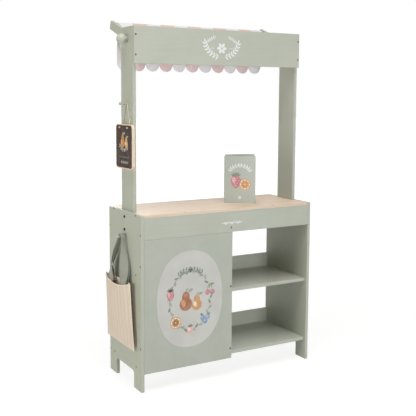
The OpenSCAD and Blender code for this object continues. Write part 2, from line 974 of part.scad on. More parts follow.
// An open cloth bag with a narrow foot and a mouth that dips in front
module bag_body() {
    outside = [for (row = [0 : bag_rows]) bag_ring(row / bag_rows, 0)];
    inside = [for (row = [bag_rows : -1 : 0]) bag_ring(row / bag_rows, bag_cloth)];
    color(bag_beige) in_place() skin(concat(outside, inside));
}

// Half of a handle, from the top of its arch to its end in the bag, as side and height. The front
// handle lies over the back one on the peg, so its arch is wider by one layer.
handle_end = [handle_spread, -bag_drop - handle_tuck];
handle_rest = peg_shank / 2 + soft_gap + handle_thickness / 2;
function handle_half(layer) = let (
    radius = handle_arch + layer,
    centre = [0, handle_rest - handle_arch],
    start = round_point(centre, radius, handle_lean)
) [
    for (angle = [90 : -handle_arc_step : handle_lean]) round_point(centre, radius, angle),
    for (i = [1 : handle_steps]) let (u = i / handle_steps)
        start + (handle_end - start) * u + [handle_bow * sin(180 * u), 0]
];

// Share of the way from the arch to the bag, and the middle line of one side of a handle
function handle_share(half, i) = max(i - len(half) + handle_steps + 1, 0) / handle_steps;
function handle_line(half, side) = [
    for (i = [0 : len(half) - 1]) [side * half[i][0] + bag_mouth_back * handle_share(half, i), half[i][1]]
];

// One ring of a handle: gathered along the peg at the top, flat against the bag at its end
function handle_ring(half, i, side, bag_out) = let (
    u = handle_share(half, i),
    eased = u * u * (3 - 2 * u),
    line = handle_line(half, side),
    flat_along = path_tangent(line, i),
    along = [0, flat_along[0], flat_along[1]],
    twist = 90 * eased,
    wide = cos(twist) * [-1, 0, 0] + sin(twist) * side * cross([-1, 0, 0], along),
    thick = cross(along, wide),
    half_width = (handle_gather + (handle_width - handle_gather) * eased) / 2,
    centre = [
        -handle_peg_out - (bag_out - handle_peg_out) * u,
        post_middle + line[i][0],
        bag_peg_z + line[i][1]
    ]
) [
    for (corner = [[-1, -1], [1, -1], [1, 1], [-1, 1]])
        centre + corner[0] * half_width * wide + side * corner[1] * handle_thickness / 2 * thick
];

module bag_handle(layer, bag_out) {
    half = handle_half(layer);
    last = len(half) - 1;
    rings = [
        for (i = [last : -1 : 0]) handle_ring(half, i, 1, bag_out),
        for (i = [1 : last]) handle_ring(half, i, -1, bag_out)
    ];
    color(handle_grey) in_place() skin(rings);
}

// Distances of the handles from the side panel, on the peg and in the bag
handle_peg_out = 10;
front_handle_bag = 20.5;
back_handle_bag = 12.5;

module bag_front_handle() {
    bag_handle(handle_thickness + 4 * soft_gap, front_handle_bag);
}

module bag_back_handle() {
    bag_handle(0, back_handle_bag);
}

// One leaf of the menu card, hinged at its spine
module menu_leaf_at(turn, side, height) {
    spine_gap = menu_leaf / 2;
    translate([menu_place_x, menu_place_y, counter_height + rest_gap]) rotate([0, 0, turn]) {
        translate([spine_gap, side > 0 ? fit_gap : -menu_leaf - fit_gap, 0]) {
            cube([menu_width - spine_gap, menu_leaf, height]);
        }
    }
}

module menu_front_leaf() {
    color(sage) in_place() menu_leaf_at(-menu_turn, -1, menu_height);
}

module menu_back_leaf() {
    color(sage) in_place() menu_leaf_at(menu_opening - menu_turn, 1, menu_height + menu_rise);
}

left_side_panel();
right_side_panel();
counter_top();
front_apron();
back_apron();
front_panel();
divider();
bottom_shelf();
middle_shelf();
inner_shelf();
bottom_rail();
middle_rail();
left_post();
right_post();
sign_board();
post_bolts();
post_nuts();
left_panel_screws();
right_panel_screws();
front_screws();
counter_screws();
divider_screws();
rail_screws();
sign_screws();
left_awning_arm();
right_awning_arm();
pivot_rod();
tip_rod();
pivot_washers();
left_knob();
right_knob();
awning_roof();
awning_valance();
valance_sleeve();
sign_peg();
chalk_board();
chalk_panel();
sign_cord();
cord_knots();
bag_peg();
bag_body();
bag_front_handle();
bag_back_handle();
menu_front_leaf();
menu_back_leaf();
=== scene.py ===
import json
import math

import bmesh
import bpy
from mathutils import Matrix, Vector


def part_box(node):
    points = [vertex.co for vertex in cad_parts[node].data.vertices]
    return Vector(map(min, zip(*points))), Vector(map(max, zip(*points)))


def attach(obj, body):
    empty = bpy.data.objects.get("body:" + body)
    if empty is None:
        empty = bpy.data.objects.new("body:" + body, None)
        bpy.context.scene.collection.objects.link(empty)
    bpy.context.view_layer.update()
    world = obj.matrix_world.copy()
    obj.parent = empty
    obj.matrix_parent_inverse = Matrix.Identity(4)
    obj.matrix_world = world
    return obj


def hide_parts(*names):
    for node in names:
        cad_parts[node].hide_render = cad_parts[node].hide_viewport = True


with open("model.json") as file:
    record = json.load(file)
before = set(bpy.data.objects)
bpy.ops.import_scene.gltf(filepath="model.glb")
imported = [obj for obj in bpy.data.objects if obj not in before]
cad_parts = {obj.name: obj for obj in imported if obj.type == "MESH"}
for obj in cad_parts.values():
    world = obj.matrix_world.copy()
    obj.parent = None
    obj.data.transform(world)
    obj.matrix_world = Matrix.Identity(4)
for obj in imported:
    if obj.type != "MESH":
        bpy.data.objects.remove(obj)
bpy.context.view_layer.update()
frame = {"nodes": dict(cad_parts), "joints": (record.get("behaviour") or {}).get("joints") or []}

scene = bpy.context.scene
scene.view_settings.view_transform = "Standard"


# The stage. A pale studio floor that keeps a light shadow of the stall, a white surround, and soft
# lamps in front, on the left, above and behind, with a weak one on the right.


class Shade:
    """A socket of a node tree. Sums and products of shades add the Math nodes they need."""

    def __init__(self, tree, socket=None):
        self.tree = tree
        self.socket = socket

    def node(self, kind, sockets=None, out=0, **settings):
        """A new node: its settings first, then the values or links of its sockets."""
        made = self.tree.nodes.new("ShaderNode" + kind)
        for name, value in settings.items():
            setattr(made, name, value)
        for name, value in (sockets or {}).items():
            if isinstance(value, Shade):
                self.tree.links.new(value.socket, made.inputs[name])
            else:
                made.inputs[name].default_value = value
        return Shade(self.tree, made.outputs[out]) if made.outputs else made

    def math(self, operation, *values):
        """A Math node on these values."""
        return self.node("Math", dict(enumerate(values)), operation=operation)

    def __add__(self, other):
        return self.math("ADD", self, other)

    def __mul__(self, other):
        return self.math("MULTIPLY", self, other)

    def __sub__(self, other):
        return self.math("SUBTRACT", self, other)

    def __rsub__(self, other):
        return self.math("SUBTRACT", other, self)

    def __truediv__(self, other):
        return self.math("DIVIDE", self, other)

    __radd__, __rmul__ = __add__, __mul__

    def rise(self, low, high):
        """Goes smoothly from 0 at low to 1 at high."""
        limits = {"Value": self, "From Min": low, "From Max": high}
        return self.node("MapRange", limits, interpolation_type="SMOOTHSTEP")

    def pick(self, first, second):
        """The first colour where this value is 0 and the second where it is 1."""
        return self.node("Mix", {0: self, 6: first, 7: second}, out=2, data_type="RGBA")

    def axes(self):
        """The three numbers of a vector."""
        return [self.node("SeparateXYZ", {0: self}, out=i) for i in range(3)]

    def place(self):
        """The place on the piece, in metres."""
        return self.node("TexCoord", out="Object")

    def noise(self, stretch, detail, roughness=0.55):
        """Noise with this many waves a metre, for all axes of the vector or for each."""
        each = stretch if isinstance(stretch, tuple) else (stretch,) * 3
        place = self.node("Mapping", {"Vector": self, "Scale": each})
        waves = {"Vector": place, "Scale": 1.0, "Detail": detail, "Roughness": roughness}
        return self.node("TexNoise", waves)


def tint(red, green, blue):
    """A colour as it looks on a screen, 0 to 255, as the linear colour that a shader takes."""
    levels = [level / 255 for level in (red, green, blue)]
    return tuple(c / 12.92 if c < 0.04045 else ((c + 0.055) / 1.055) ** 2.4 for c in levels) + (1.0,)


def new_material(name):
    """An empty material and the shade that its nodes are built from."""
    made = bpy.data.materials.new(name)
    made.use_nodes = True
    made.node_tree.nodes.clear()
    return made, Shade(made.node_tree)


def seen_rays(start):
    """1 for rays from the camera and mirrored or refracted ones, and 0 for light that falls on the stall."""
    camera, glossy, clear = (start.node("LightPath", out="Is " + kind + " Ray")
                             for kind in ("Camera", "Glossy", "Transmission"))
    return start.math("MAXIMUM", camera, start.math("MAXIMUM", glossy, clear))


def mesh_of(bm, name, material=None):
    """Turns a finished bmesh into a mesh of one material."""
    mesh = bpy.data.meshes.new(name)
    bm.to_mesh(mesh)
    bm.free()
    if material:
        mesh.materials.append(material)
    return mesh


floor_reach = 30.0
near_glow, far_glow = 0.72, 0.98
near_reach, far_reach = 0.8, 3.5
glow_strength = 1.15
surround_light = 0.03
white = (1.0, 1.0, 1.0, 1.0)

floor_paint, start = new_material("studio_floor")
matt = start.node("BsdfDiffuse", {"Color": tint(245, 245, 245)})
glow = start.node("Emission", {"Color": white, "Strength": glow_strength})
away = start.node("VectorMath", {0: start.place()}, out="Value", operation="LENGTH")
share = seen_rays(start) * (near_glow + (far_glow - near_glow) * away.rise(near_reach, far_reach))
start.node("OutputMaterial", {"Surface": start.node("MixShader", {0: share, 1: matt, 2: glow})})

bm = bmesh.new()
bmesh.ops.create_circle(bm, cap_ends=True, segments=64, radius=floor_reach)
floor = bpy.data.objects.new("studio_floor", mesh_of(bm, "studio_floor", floor_paint))
scene.collection.objects.link(floor)

scene.world = bpy.data.worlds.new("studio_surround")
scene.world.use_nodes = True
scene.world.node_tree.nodes.clear()
start = Shade(scene.world.node_tree)
brightness = surround_light + (1 - surround_light) * seen_rays(start)
start.node("OutputWorld", {"Surface": start.node("Background", {"Color": white, "Strength": brightness})})


def soft_lamp(name, place, width, power, warmth):
    """A square area lamp that faces the middle of the stall."""
    lamp = bpy.data.lights.new(name, "AREA")
    lamp.size = width
    lamp.energy = power
    lamp.color = warmth
    made = bpy.data.objects.new(name, lamp)
    made.location = place
    made.rotation_euler = (stall_heart - Vector(place)).to_track_quat("-Z", "Y").to_euler()
    scene.collection.objects.link(made)


stall_heart = Vector((0.0, 0.0, 0.5))
soft_lamp("front_lamp", (0.35, -3.2, 0.7), 1.5, 44, (0.975, 0.985, 1.0))
soft_lamp("left_lamp", (-2.8, -0.2, 0.8), 1.3, 26, (1.0, 0.985, 0.85))
soft_lamp("top_lamp", (-0.45, -0.75, 2.8), 1.5, 43, (1.0, 0.995, 0.97))
soft_lamp("back_lamp", (0.3, 2.8, 1.3), 1.3, 38, (1.0, 1.0, 0.97))
soft_lamp("right_lamp", (2.8, 0.7, 0.9), 1.3, 13, (1.0, 1.0, 0.97))


# The camera stands to the left of the stall at about the height of its window, turned towards it
# and a little down. Its place, turn and lens come from the stall's own corners in the picture.

picture_width = 416
focal_pixels = 739.5
lens_axis_pixel = (189, 178)
camera_place = (-1.1798, -1.9925, 0.8475)
camera_yaw = math.radians(29.052)
camera_pitch = math.radians(6.174)
camera_roll = math.radians(0.181)

lens = bpy.data.cameras.new("camera")
lens.sensor_width = 36.0
lens.lens = focal_pixels * lens.sensor_width / picture_width
lens.shift_x = (picture_width / 2 - lens_axis_pixel[0]) / picture_width
lens.shift_y = (lens_axis_pixel[1] - picture_width / 2) / picture_width
camera = bpy.data.objects.new("camera", lens)
camera.matrix_world = (
    Matrix.Translation(camera_place)
    @ Matrix.Rotation(-camera_yaw, 4, "Z")
    @ Matrix.Rotation(math.pi / 2 - camera_pitch, 4, "X")
    @ Matrix.Rotation(camera_roll, 4, "Z")
)
scene.collection.objects.link(camera)
scene.camera = camera


# The painted boards: side panels, front panel, divider, aprons, shelves, rails, posts, sign board,
# awning arms, knobs and pegs. Board sprayed with two coats of satin sage paint, through which the long
# grain shows a little.

mm = 0.001


def surface(start, colour, roughness, height, relief, **fixed):
    """Ends a material in its shader. Height is in shares of relief, a length in metres."""
    bump = start.node("Bump", {"Height": height, "Distance": relief})
    sockets = {"Base Color": colour, "Roughness": roughness, "Normal": bump}
    for name, value in fixed.items():
        sockets[name.replace("_", " ")] = value
    start.node("OutputMaterial", {"Surface": start.node("BsdfPrincipled", sockets)})


def finish_nodes(material, *names):
    """Gives CAD nodes a material."""
    for name in names:
        for slot in frame["nodes"][name].material_slots:
            slot.material = material


def sage_paint(name, grain, dark=tint(178, 182, 168), light=tint(187, 190, 178)):
    """Satin paint. Grain is its waves a metre, few along the boards and many across them."""
    made, start = new_material(name)
    place = start.place()
    cloud = place.noise(7, 3.0)
    streak = place.noise(grain, 4.0, 0.62)
    stipple = place.noise(900, 2.0)
    tone = 0.4 * streak.rise(0.3, 0.7) + 0.6 * cloud.rise(0.3, 0.7)
    surface(start, tone.pick(dark, light), 0.40 + 0.16 * cloud, 0.5 * streak + 0.5 * stipple, 0.12 * mm,
            Specular_IOR_Level=0.42)
    return made


upright_paint = sage_paint("sage_paint_upright", (260, 260, 8))
level_paint = sage_paint("sage_paint_level", (8, 260, 260))
turned_paint = sage_paint("sage_paint_turned", 60)
panel_paint = sage_paint("sage_paint_panel", 40, tint(174, 179, 168), tint(181, 185, 174))
finish_nodes(upright_paint, "left_side_panel", "right_side_panel", "divider", "left_post", "right_post")
finish_nodes(panel_paint, "front_panel")
finish_nodes(level_paint, "front_apron", "back_apron", "bottom_shelf", "middle_shelf", "inner_shelf",
             "bottom_rail", "middle_rail", "sign_board")
finish_nodes(turned_paint, "left_awning_arm", "right_awning_arm", "left_knob", "right_knob",
             "sign_peg", "bag_peg")


# The counter top and the two rods: pale solid wood under clear matt lacquer, with fine long grain
# and short darker pores that run along the stall.


def pale_wood(name, grain, pores, light, dark, painted_from=None):
    """Lacquered pale wood with its grain along the axis that has few waves. Paint covers a rod's ends."""
    made, start = new_material(name)
    place = start.place()
    figure = place.noise(grain, 5.0, 0.6)
    fleck = place.noise(pores, 2.0, 0.5).rise(0.60, 0.74)
    plank = place.noise((0.8, 9, 9), 1.0)
    tone = 0.7 * figure.rise(0.32, 0.7) + 0.3 * plank.rise(0.35, 0.65)
    colour = (0.35 * fleck).pick(tone.pick(light, dark), tint(176, 144, 112))
    if painted_from:
        covered = start.math("ABSOLUTE", place.axes()[0]).rise(painted_from - 0.5 * mm, painted_from)
        colour = covered.pick(colour, tint(182, 187, 177))
    surface(start, colour, 0.46 + 0.12 * figure, figure - 0.6 * fleck, 0.25 * mm, Specular_IOR_Level=0.4)
    return made


along_stall = (2.6, 95, 95), (26, 620, 620), tint(229, 211, 193), tint(217, 195, 171)
rod_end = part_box("tip_rod")[1].x
finish_nodes(pale_wood("counter_wood", *along_stall), "counter_top", "pivot_rod")
finish_nodes(pale_wood("rod_wood", *along_stall, painted_from=rod_end - 0.2 * mm), "tip_rod")


# The screws: countersunk heads with a cross recess, bronzed steel, drawn in almost flush with the paint.
# Each one stands where the solid model has it, turned as the driver happened to leave it.


def add_piece(name, bm, material, body, slot, *replaced, crease=180.0, flat=False):
    """Makes a mesh a piece on a body. Edges sharper than crease stay sharp; flat ink keeps its facing."""
    if not flat:
        bmesh.ops.recalc_face_normals(bm, faces=bm.faces)
    mesh = mesh_of(bm, name, material)
    mesh.shade_smooth()
    mesh.set_sharp_from_angle(angle=math.radians(crease))
    made = bpy.data.objects.new(name, mesh)
    scene.collection.objects.link(made)
    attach(made, body)
    if replaced:
        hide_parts(*replaced)
    return made


def loose_solids(node):
    """The points of each separate solid of a CAD node, in order along the stall."""
    bm = bmesh.new()
    bm.from_mesh(frame["nodes"][node].data)
    bmesh.ops.remove_doubles(bm, verts=bm.verts, dist=0.01 * mm)
    waiting = set(bm.verts)
    solids = []
    while waiting:
        reached = [waiting.pop()]
        for vert in reached:
            for edge in vert.link_edges:
                other = edge.other_vert(vert)
                if other in waiting:
                    waiting.remove(other)
                    reached.append(other)
        solids.append([vert.co.copy() for vert in reached])
    bm.free()
    return sorted(solids, key=lambda points: [round(min(axis), 5) for axis in zip(*points)])


def box_of(points):
    """The lowest and the highest corner of some points."""
    return [Vector([end(axis) for axis in zip(*points)]) for end in (min, max)]


def head_places(node):
    """For each screw of a CAD node, the middle of its head and the way the head faces."""
    places = []
    for points in loose_solids(node):
        low, high = box_of(points)
        middle = (low + high) / 2
        axis = max(range(3), key=lambda i: high[i] - low[i])
        ends = []
        for side, level in ((-1, low[axis]), (1, high[axis])):
            facing = Vector([side * (i == axis) for i in range(3)])
            close = [point for point in points if abs(point[axis] - level) < 0.1 * mm]
            reach = max((point - middle).cross(facing).length for point in close)
            ends.append((reach, middle + facing * (high[axis] - low[axis]) / 2, facing))
        places.append(max(ends, key=lambda end: end[0])[1:])
    return places


def stamp(bm, template, place, facing, turn):
    """Adds a copy of a template mesh with its +Z along the way it faces."""
    first = len(bm.verts)
    bm.from_mesh(template)
    bm.verts.ensure_lookup_table()
    swing = facing.to_track_quat("Z", "Y").to_matrix().to_4x4()
    matrix = Matrix.Translation(place) @ swing @ Matrix.Rotation(turn, 4, "Z")
    bmesh.ops.transform(bm, matrix=matrix, verts=bm.verts[first:])


def points_of(geom):
    """The points among what an operator made."""
    return [item for item in geom if isinstance(item, bmesh.types.BMVert)]


def sink(bm, faces, narrow, depth):
    """Extrudes faces down into a recess with a floor narrower by this share."""
    sunk = points_of(bmesh.ops.extrude_face_region(bm, geom=faces)["geom"])
    bmesh.ops.delete(bm, geom=[face for face in faces if face.is_valid], context="FACES_ONLY")
    bmesh.ops.scale(bm, vec=(narrow, narrow, 1.0), verts=sunk)
    bmesh.ops.translate(bm, vec=(0, 0, -depth), verts=sunk)


def ring_out(bm, edges, scale, drop):
    """Extrudes a ring of edges outwards by a scale about its axis and down, and returns the new ring."""
    made = bmesh.ops.extrude_edge_only(bm, edges=edges)["geom"]
    verts = points_of(made)
    bmesh.ops.scale(bm, vec=(scale, scale, 1.0), verts=verts)
    bmesh.ops.translate(bm, vec=(0, 0, -drop), verts=verts)
    return [item for item in made if isinstance(item, bmesh.types.BMEdge)]


def crowned(bm, radius, narrow, depth):
    """Sinks all faces into a recess, sets a round crown about it and returns the edges of the crown."""
    recess = bm.faces[:]
    recess_edges = [edge for edge in bm.edges if edge.is_boundary]
    bmesh.ops.create_circle(bm, segments=24, radius=radius)
    crown_edges = [edge for edge in bm.edges if edge.is_wire]
    bmesh.ops.bridge_loops(bm, edges=recess_edges + crown_edges)
    sink(bm, recess, narrow, depth)
    return [edge for edge in crown_edges if edge.is_valid]


def metal(name, waves, dark, light, gloss, dulled, relief, metallic, low=0.3, detail=3.0, grit=0.55):
    """Plated or blackened steel with a fine mottle, which dulls it here and there."""
    made, start = new_material(name)
    mottle = start.place().noise(waves, detail, grit)
    surface(start, mottle.rise(low, low + 0.4).pick(dark, light), gloss + dulled * mottle, mottle, relief,
            Metallic=metallic)
    return made


screw_head = 6.0 * mm
cross_length, cross_depth, cross_narrow = 3.4 * mm, 1.1 * mm, 0.55
head_depth = 1.8 * mm
crown_share = 0.46
shoulder_drop = 0.25 * mm
proud = 0.15 * mm
turn_step = math.radians(137.5)

bm = bmesh.new()
bmesh.ops.create_grid(bm, x_segments=3, y_segments=3, size=cross_length / 2)
corners = [f for f in bm.faces if min(abs(c) for c in f.calc_center_median().xy) > cross_length / 6]
bmesh.ops.delete(bm, geom=corners, context="FACES")
crown = crowned(bm, crown_share * screw_head, cross_narrow, cross_depth)
shoulder = ring_out(bm, crown, 0.5 / crown_share, shoulder_drop)
bmesh.ops.contextual_create(bm, geom=ring_out(bm, shoulder, 0.5, head_depth))
screw_template = mesh_of(bm, "screw_template")

bronze = metal("bronzed_steel", 900, tint(108, 82, 74), tint(136, 108, 97), 0.36, 0.2, 0.05 * mm, 0.65)
screw_homes = ("left_panel_screws", "right_panel_screws", "front_screws", "counter_screws",
               "divider_screws", "rail_screws", "sign_screws")
for node in screw_homes:
    bm = bmesh.new()
    for count, (head, facing) in enumerate(head_places(node)):
        stamp(bm, screw_template, head + proud * facing, facing, count * turn_step)
    add_piece(node + "_heads", bm, bronze, "stall", "bronze_screws", node, crease=35.0)


# The post bolts: black furniture bolts with a low domed head and a hexagon socket, two to a post.
# Each runs through side panel and post into a zinc nut, which stays as the solid model has it.

bolt_head = 9.0 * mm
top_share = 0.27
bolt_rise = 3.0 * mm
dome_rise = 0.85 * bolt_rise
socket_width = 3.6 * mm
socket_depth = 1.8 * mm
bolt_shank = 6.0 * mm
grip_length = 25.0 * mm
tip_chamfer = 0.8 * mm

bm = bmesh.new()
bmesh.ops.create_circle(bm, cap_ends=True, segments=6, radius=socket_width / 2)
radius, level = top_share * bolt_head, 0.0
ring = crowned(bm, radius, 1.0, socket_depth)
for share in (0.36, 0.43, 0.48, 0.5):
    lower = -dome_rise * (1 - math.sqrt(1 - (2 * share) ** 2))
    ring = ring_out(bm, ring, share * bolt_head / radius, level - lower)
    radius, level = share * bolt_head, lower
for scale, drop in ((1.0, bolt_rise + level), (bolt_shank / bolt_head, 0.0),
                    (1.0, grip_length - tip_chamfer), (0.75, tip_chamfer)):
    ring = ring_out(bm, ring, scale, drop)
bmesh.ops.contextual_create(bm, geom=ring)
bolt_template = mesh_of(bm, "bolt_template")

black_steel = metal("black_steel", 700, tint(38, 36, 36), tint(66, 62, 60), 0.34, 0.25, 0.04 * mm, 0.4,
                    low=0.35)
bm = bmesh.new()
for count, points in enumerate(loose_solids("post_bolts")):
    low, high = box_of(points)
    middle = (low + high) / 2
    facing = Vector((math.copysign(1, middle.x), 0, 0))
    stamp(bm, bolt_template, middle + facing * (high.x - low.x) / 2, facing, count * turn_step)
add_piece("post_bolt_set", bm, black_steel, "stall", "black_bolts", "post_bolts", crease=35.0)

zinc = metal("zinc_plate", 420, tint(176, 178, 180), tint(206, 207, 206), 0.28, 0.2, 0.04 * mm, 1.0,
             detail=4.0, grit=0.7)
finish_nodes(zinc, "post_nuts", "pivot_washers")


# The sign cord: one limp three-strand cotton cord, knotted in front of each hole of the chalk sign.
# It runs through both holes and over the peg in an upturned V.


def through(points, count):
    """A smooth line of points that passes through the given ones."""
    line = []
    for i in range(len(points) - 1):
        before, here = points[max(i - 1, 0)], points[i]
        there, after = points[i + 1], points[min(i + 2, len(points) - 1)]
        for step in range(count):
            u = step / count
            line.append(0.5 * (2 * here + (there - before) * u
                               + (2 * before - 5 * here + 4 * there - after) * u ** 2
                               + (3 * here - before - 3 * there + after) * u ** 3))
    return line + [points[-1]]


def pull(bm, verts, edges, points):
    """Extrudes edges and moves the new points, in the order of the old ones, to these places."""
    made = set(bmesh.ops.extrude_edge_only(bm, edges=edges)["geom"])
    verts = [next(e.other_vert(v) for e in v.link_edges if e.other_vert(v) in made) for v in verts]
    for vert, point in zip(verts, points):
        vert.co = point
    return verts


def sweep(bm, rings):
    """Extrudes a closed ring of points through the rings that follow it, and returns its end rings."""
    verts = [bm.verts.new(point) for point in rings[0]]
    edges = [bm.edges.new((verts[i - 1], verts[i])) for i in range(len(verts))]
    first = edges
    for ring in rings[1:]:
        verts = pull(bm, verts, edges, ring)
        edges = [bm.edges.get((verts[i - 1], verts[i])) for i in range(len(verts))]
    return first, edges


def box_middle(node):
    """The middle of a CAD node's box."""
    low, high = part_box(node)
    return (low + high) / 2


def laid_rings(line, radius, lay, looped=False):
    """Rings of a three-strand cord along a line, with one turn of its strands in each lay length."""
    rings, across, turn = [], None, 0.0
    for i, point in enumerate(line):
        ahead = line[(i + 1) % len(line)] if looped else line[min(i + 1, len(line) - 1)]
        behind = line[i - 1] if looped else line[max(i - 1, 0)]
        along = (ahead - behind).normalized()
        across = along.orthogonal() if across is None else across - across.dot(along) * along
        across = across.normalized()
        beside = along.cross(across)
        if i:
            turn += 2 * math.pi * (point - line[i - 1]).length / lay
        ring = []
        for k in range(cord_sides):
            angle = 2 * math.pi * k / cord_sides
            reach = radius * (0.86 + 0.14 * math.cos(3 * (angle - turn)))
            ring.append(point + reach * (math.cos(angle) * across + math.sin(angle) * beside))
        rings.append(ring)
    return rings


cord_sides = 12
cord_width = 2.2 * mm
cord_lay = 7.0 * mm
peg_place = box_middle("sign_peg")
peg_place.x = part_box("left_post")[0].x
# Distance out from the post, distance from its middle and height over the peg, in millimetres
half_route = (
    (12.5, 27, -70), (10.3, 27, -70), (8, 27, -70), (5.8, 27, -70), (3.7, 27, -69.4), (2.1, 27, -67.8),
    (1.5, 26.6, -65.5), (1.5, 21, -48), (1.5, 14, -27), (1.6, 7.3, -6), (1.8, 4.8, 1.7),
    (1.8, 2.9, 4.2), (1.8, 0, 5.1),
)
whole_route = half_route + tuple((out, -side, up) for out, side, up in reversed(half_route[:-1]))
cord_line = through([peg_place + mm * Vector((-out, side, up)) for out, side, up in whole_route], 8)
cord_length = sum((b - a).length for a, b in zip(cord_line, cord_line[1:]))

cotton, start = new_material("cotton_cord")
place = start.place()
fibre = place.noise((1500, 1500, 700), 3.0, 0.65)
soil = place.noise(60, 2.0)
tone = 0.6 * fibre.rise(0.3, 0.7) + 0.4 * soil.rise(0.35, 0.65)
surface(start, tone.pick(tint(226, 217, 198), tint(250, 243, 228)), 0.85, fibre, 0.15 * mm,
        Sheen_Weight=0.25, Specular_IOR_Level=0.2)

bm = bmesh.new()
for end in sweep(bm, laid_rings(cord_line, cord_width / 2, cord_lay)):
    bmesh.ops.contextual_create(bm, geom=end)
sign_cord = add_piece("sign_cord_laid", bm, cotton, "chalk_sign", "natural_cord", "sign_cord")

knot_reach = 3.5 * mm
knot_turns = 72
knot_strand = 0.45 * cord_width
knot_size = (knot_reach - knot_strand) / 3
bm = bmesh.new()
for end, side in ((0, 1), (-1, -1)):
    knot = []
    for k in range(knot_turns):
        t = 2 * math.pi * k / knot_turns
        over = -0.75 * math.sin(3 * t)
        knot.append(cord_line[end] + knot_size * Vector(
            (over, math.sin(t) + 2 * math.sin(2 * t), side * (math.cos(t) - 2 * math.cos(2 * t)))))
    first, last = sweep(bm, laid_rings(knot, knot_strand, cord_lay, looped=True))
    bmesh.ops.bridge_loops(bm, edges=first + last)
knots = add_piece("sign_cord_knots", bm, cotton, "chalk_sign", "natural_cord", "cord_knots")
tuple(cord_line[0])


# The chalk sign: a small board of pale wood with a dark chalk face let into its front. It shows two
# pears and a sprig in coloured chalk, and hangs on the cord above.


def ink_sheet():
    """A mesh for flat shapes of ink, drawn in millimetres, which keep their colour in an attribute."""
    bm = bmesh.new()
    bm.loops.layers.float_color.new("ink")
    return bm


def dry(bm, verts, shade):
    """Gives the faces of these points their colour."""
    layer = bm.loops.layers.float_color["ink"]
    for face in {face for vert in verts for face in vert.link_faces}:
        for loop in face.loops:
            loop[layer] = shade


def dab(bm, x, y, width, height, shade, lift, turn=0.0, point=0.0, taper=0.0, sides=24):
    """A round of ink. Point draws its ends out into the tips of a leaf, and taper narrows its foot."""
    verts = bmesh.ops.create_circle(bm, cap_ends=True, segments=sides, radius=0.5)["verts"]
    for vert in verts:
        across, up = 2 * vert.co.x, 2 * vert.co.y
        vert.co.x *= 1 + taper * up
        vert.co.y *= max(1 - across ** 2, 0.0) ** (point / 2)
    place = Matrix.Translation((x, y, lift)) @ Matrix.Rotation(turn, 4, "Z")
    bmesh.ops.transform(bm, matrix=place @ Matrix.Diagonal((width, height, 1, 1)), verts=verts)
    dry(bm, verts, shade)


def stroke(bm, line, width, shade, lift):
    """A line of ink that thins out at both ends."""
    last = len(line) - 1
    drawn = []
    for i, here in enumerate(line):
        along = (line[min(i + 1, last)] - line[max(i - 1, 0)]).normalized()
        half = width / 2 * (0.35 + 0.65 * math.sin(math.pi * (i + 0.5) / (last + 1)))
        sides = [(*(here + side * half * Vector((-along.y, along.x))), lift) for side in (-1, 1)]
        if drawn:
            verts = pull(bm, verts, [bm.edges.get(verts)], sides)
        else:
            verts = [bm.verts.new(point) for point in sides]
            bm.edges.new(verts)
        drawn += verts
    dry(bm, drawn, shade)


def arc(x, y, width, height, begin, end, steps):
    """Points on part of an ellipse, with angles in degrees."""
    angles = [math.radians(begin + (end - begin) * i / steps) for i in range(steps + 1)]
    return [Vector((x + width / 2 * math.cos(a), y + height / 2 * math.sin(a))) for a in angles]


def petal(bm, spot, reach, turn, length, width, shade, lift, point=1.0, sides=14):
    """A leaf or petal that points away from a spot, with its middle this far from it."""
    here = Vector(spot) + reach * Vector((math.cos(turn), math.sin(turn)))
    dab(bm, *here, length, width, shade, lift, turn, point, sides=sides)


def sprig(bm, line, leaf, shade, stem, lift):
    """A stem along a line with a leaf at each side of every second point and one at its tip."""
    stroke(bm, line, stem, shade, lift)
    for i in range(1, len(line) - 1, 2):
        along = math.atan2(*(line[i + 1] - line[i - 1]).yx)
        for side in (-1, 1):
            petal(bm, line[i], 0.52 * leaf, along + side * leaf_lean, leaf, 0.42 * leaf, shade, lift)
    tip = math.atan2(*(line[-1] - line[-2]).yx)
    petal(bm, line[-1], 0.5 * leaf, tip, leaf, 0.42 * leaf, shade, lift)


def fruit_pen(bm, x, y, size, lift):
    """Gives a dab in shares of a fruit's size, placed from its middle and this many layers of ink up."""
    def mark(right, up, width, height, shade, layer, *shape, **ends):
        dab(bm, x + right * size, y + up * size, width * size, height * size, shade, lift + layer * ink_step,
            *shape, **ends)
    return mark


def pear(bm, x, y, size, skin, shine, stem, leaf, lift):
    """A pear with a lit side, a stem and one leaf."""
    mark = fruit_pen(bm, x, y, size, lift)
    mark(0, -0.16, 0.66, 0.62, skin, 0)
    mark(0, 0.16, 0.40, 0.56, skin, 1)
    mark(-0.12, -0.10, 0.22, 0.34, shine, 2, 0.3)
    stroke(bm, arc(x + 0.2 * size, y + 0.42 * size, 0.4 * size, 0.3 * size, 180, 110, 6),
           0.05 * size, stem, lift + 2 * ink_step)
    mark(0.24, 0.47, 0.34, 0.15, leaf, 1, 0.35, 1.0)


def on_face(node, axis, wall):
    """Leads from a flat sheet to the middle of the face of a CAD node that is lowest along an axis."""
    place = box_middle(node)
    place[axis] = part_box(node)[0][axis]
    return Matrix.Translation(place) @ wall


def printed(bm, place, name, material, body, slot):
    """Lays a sheet of ink on the face that place leads to."""
    bmesh.ops.transform(bm, matrix=place @ Matrix.Scale(mm, 4), verts=bm.verts)
    add_piece(name, bm, material, body, slot, flat=True)


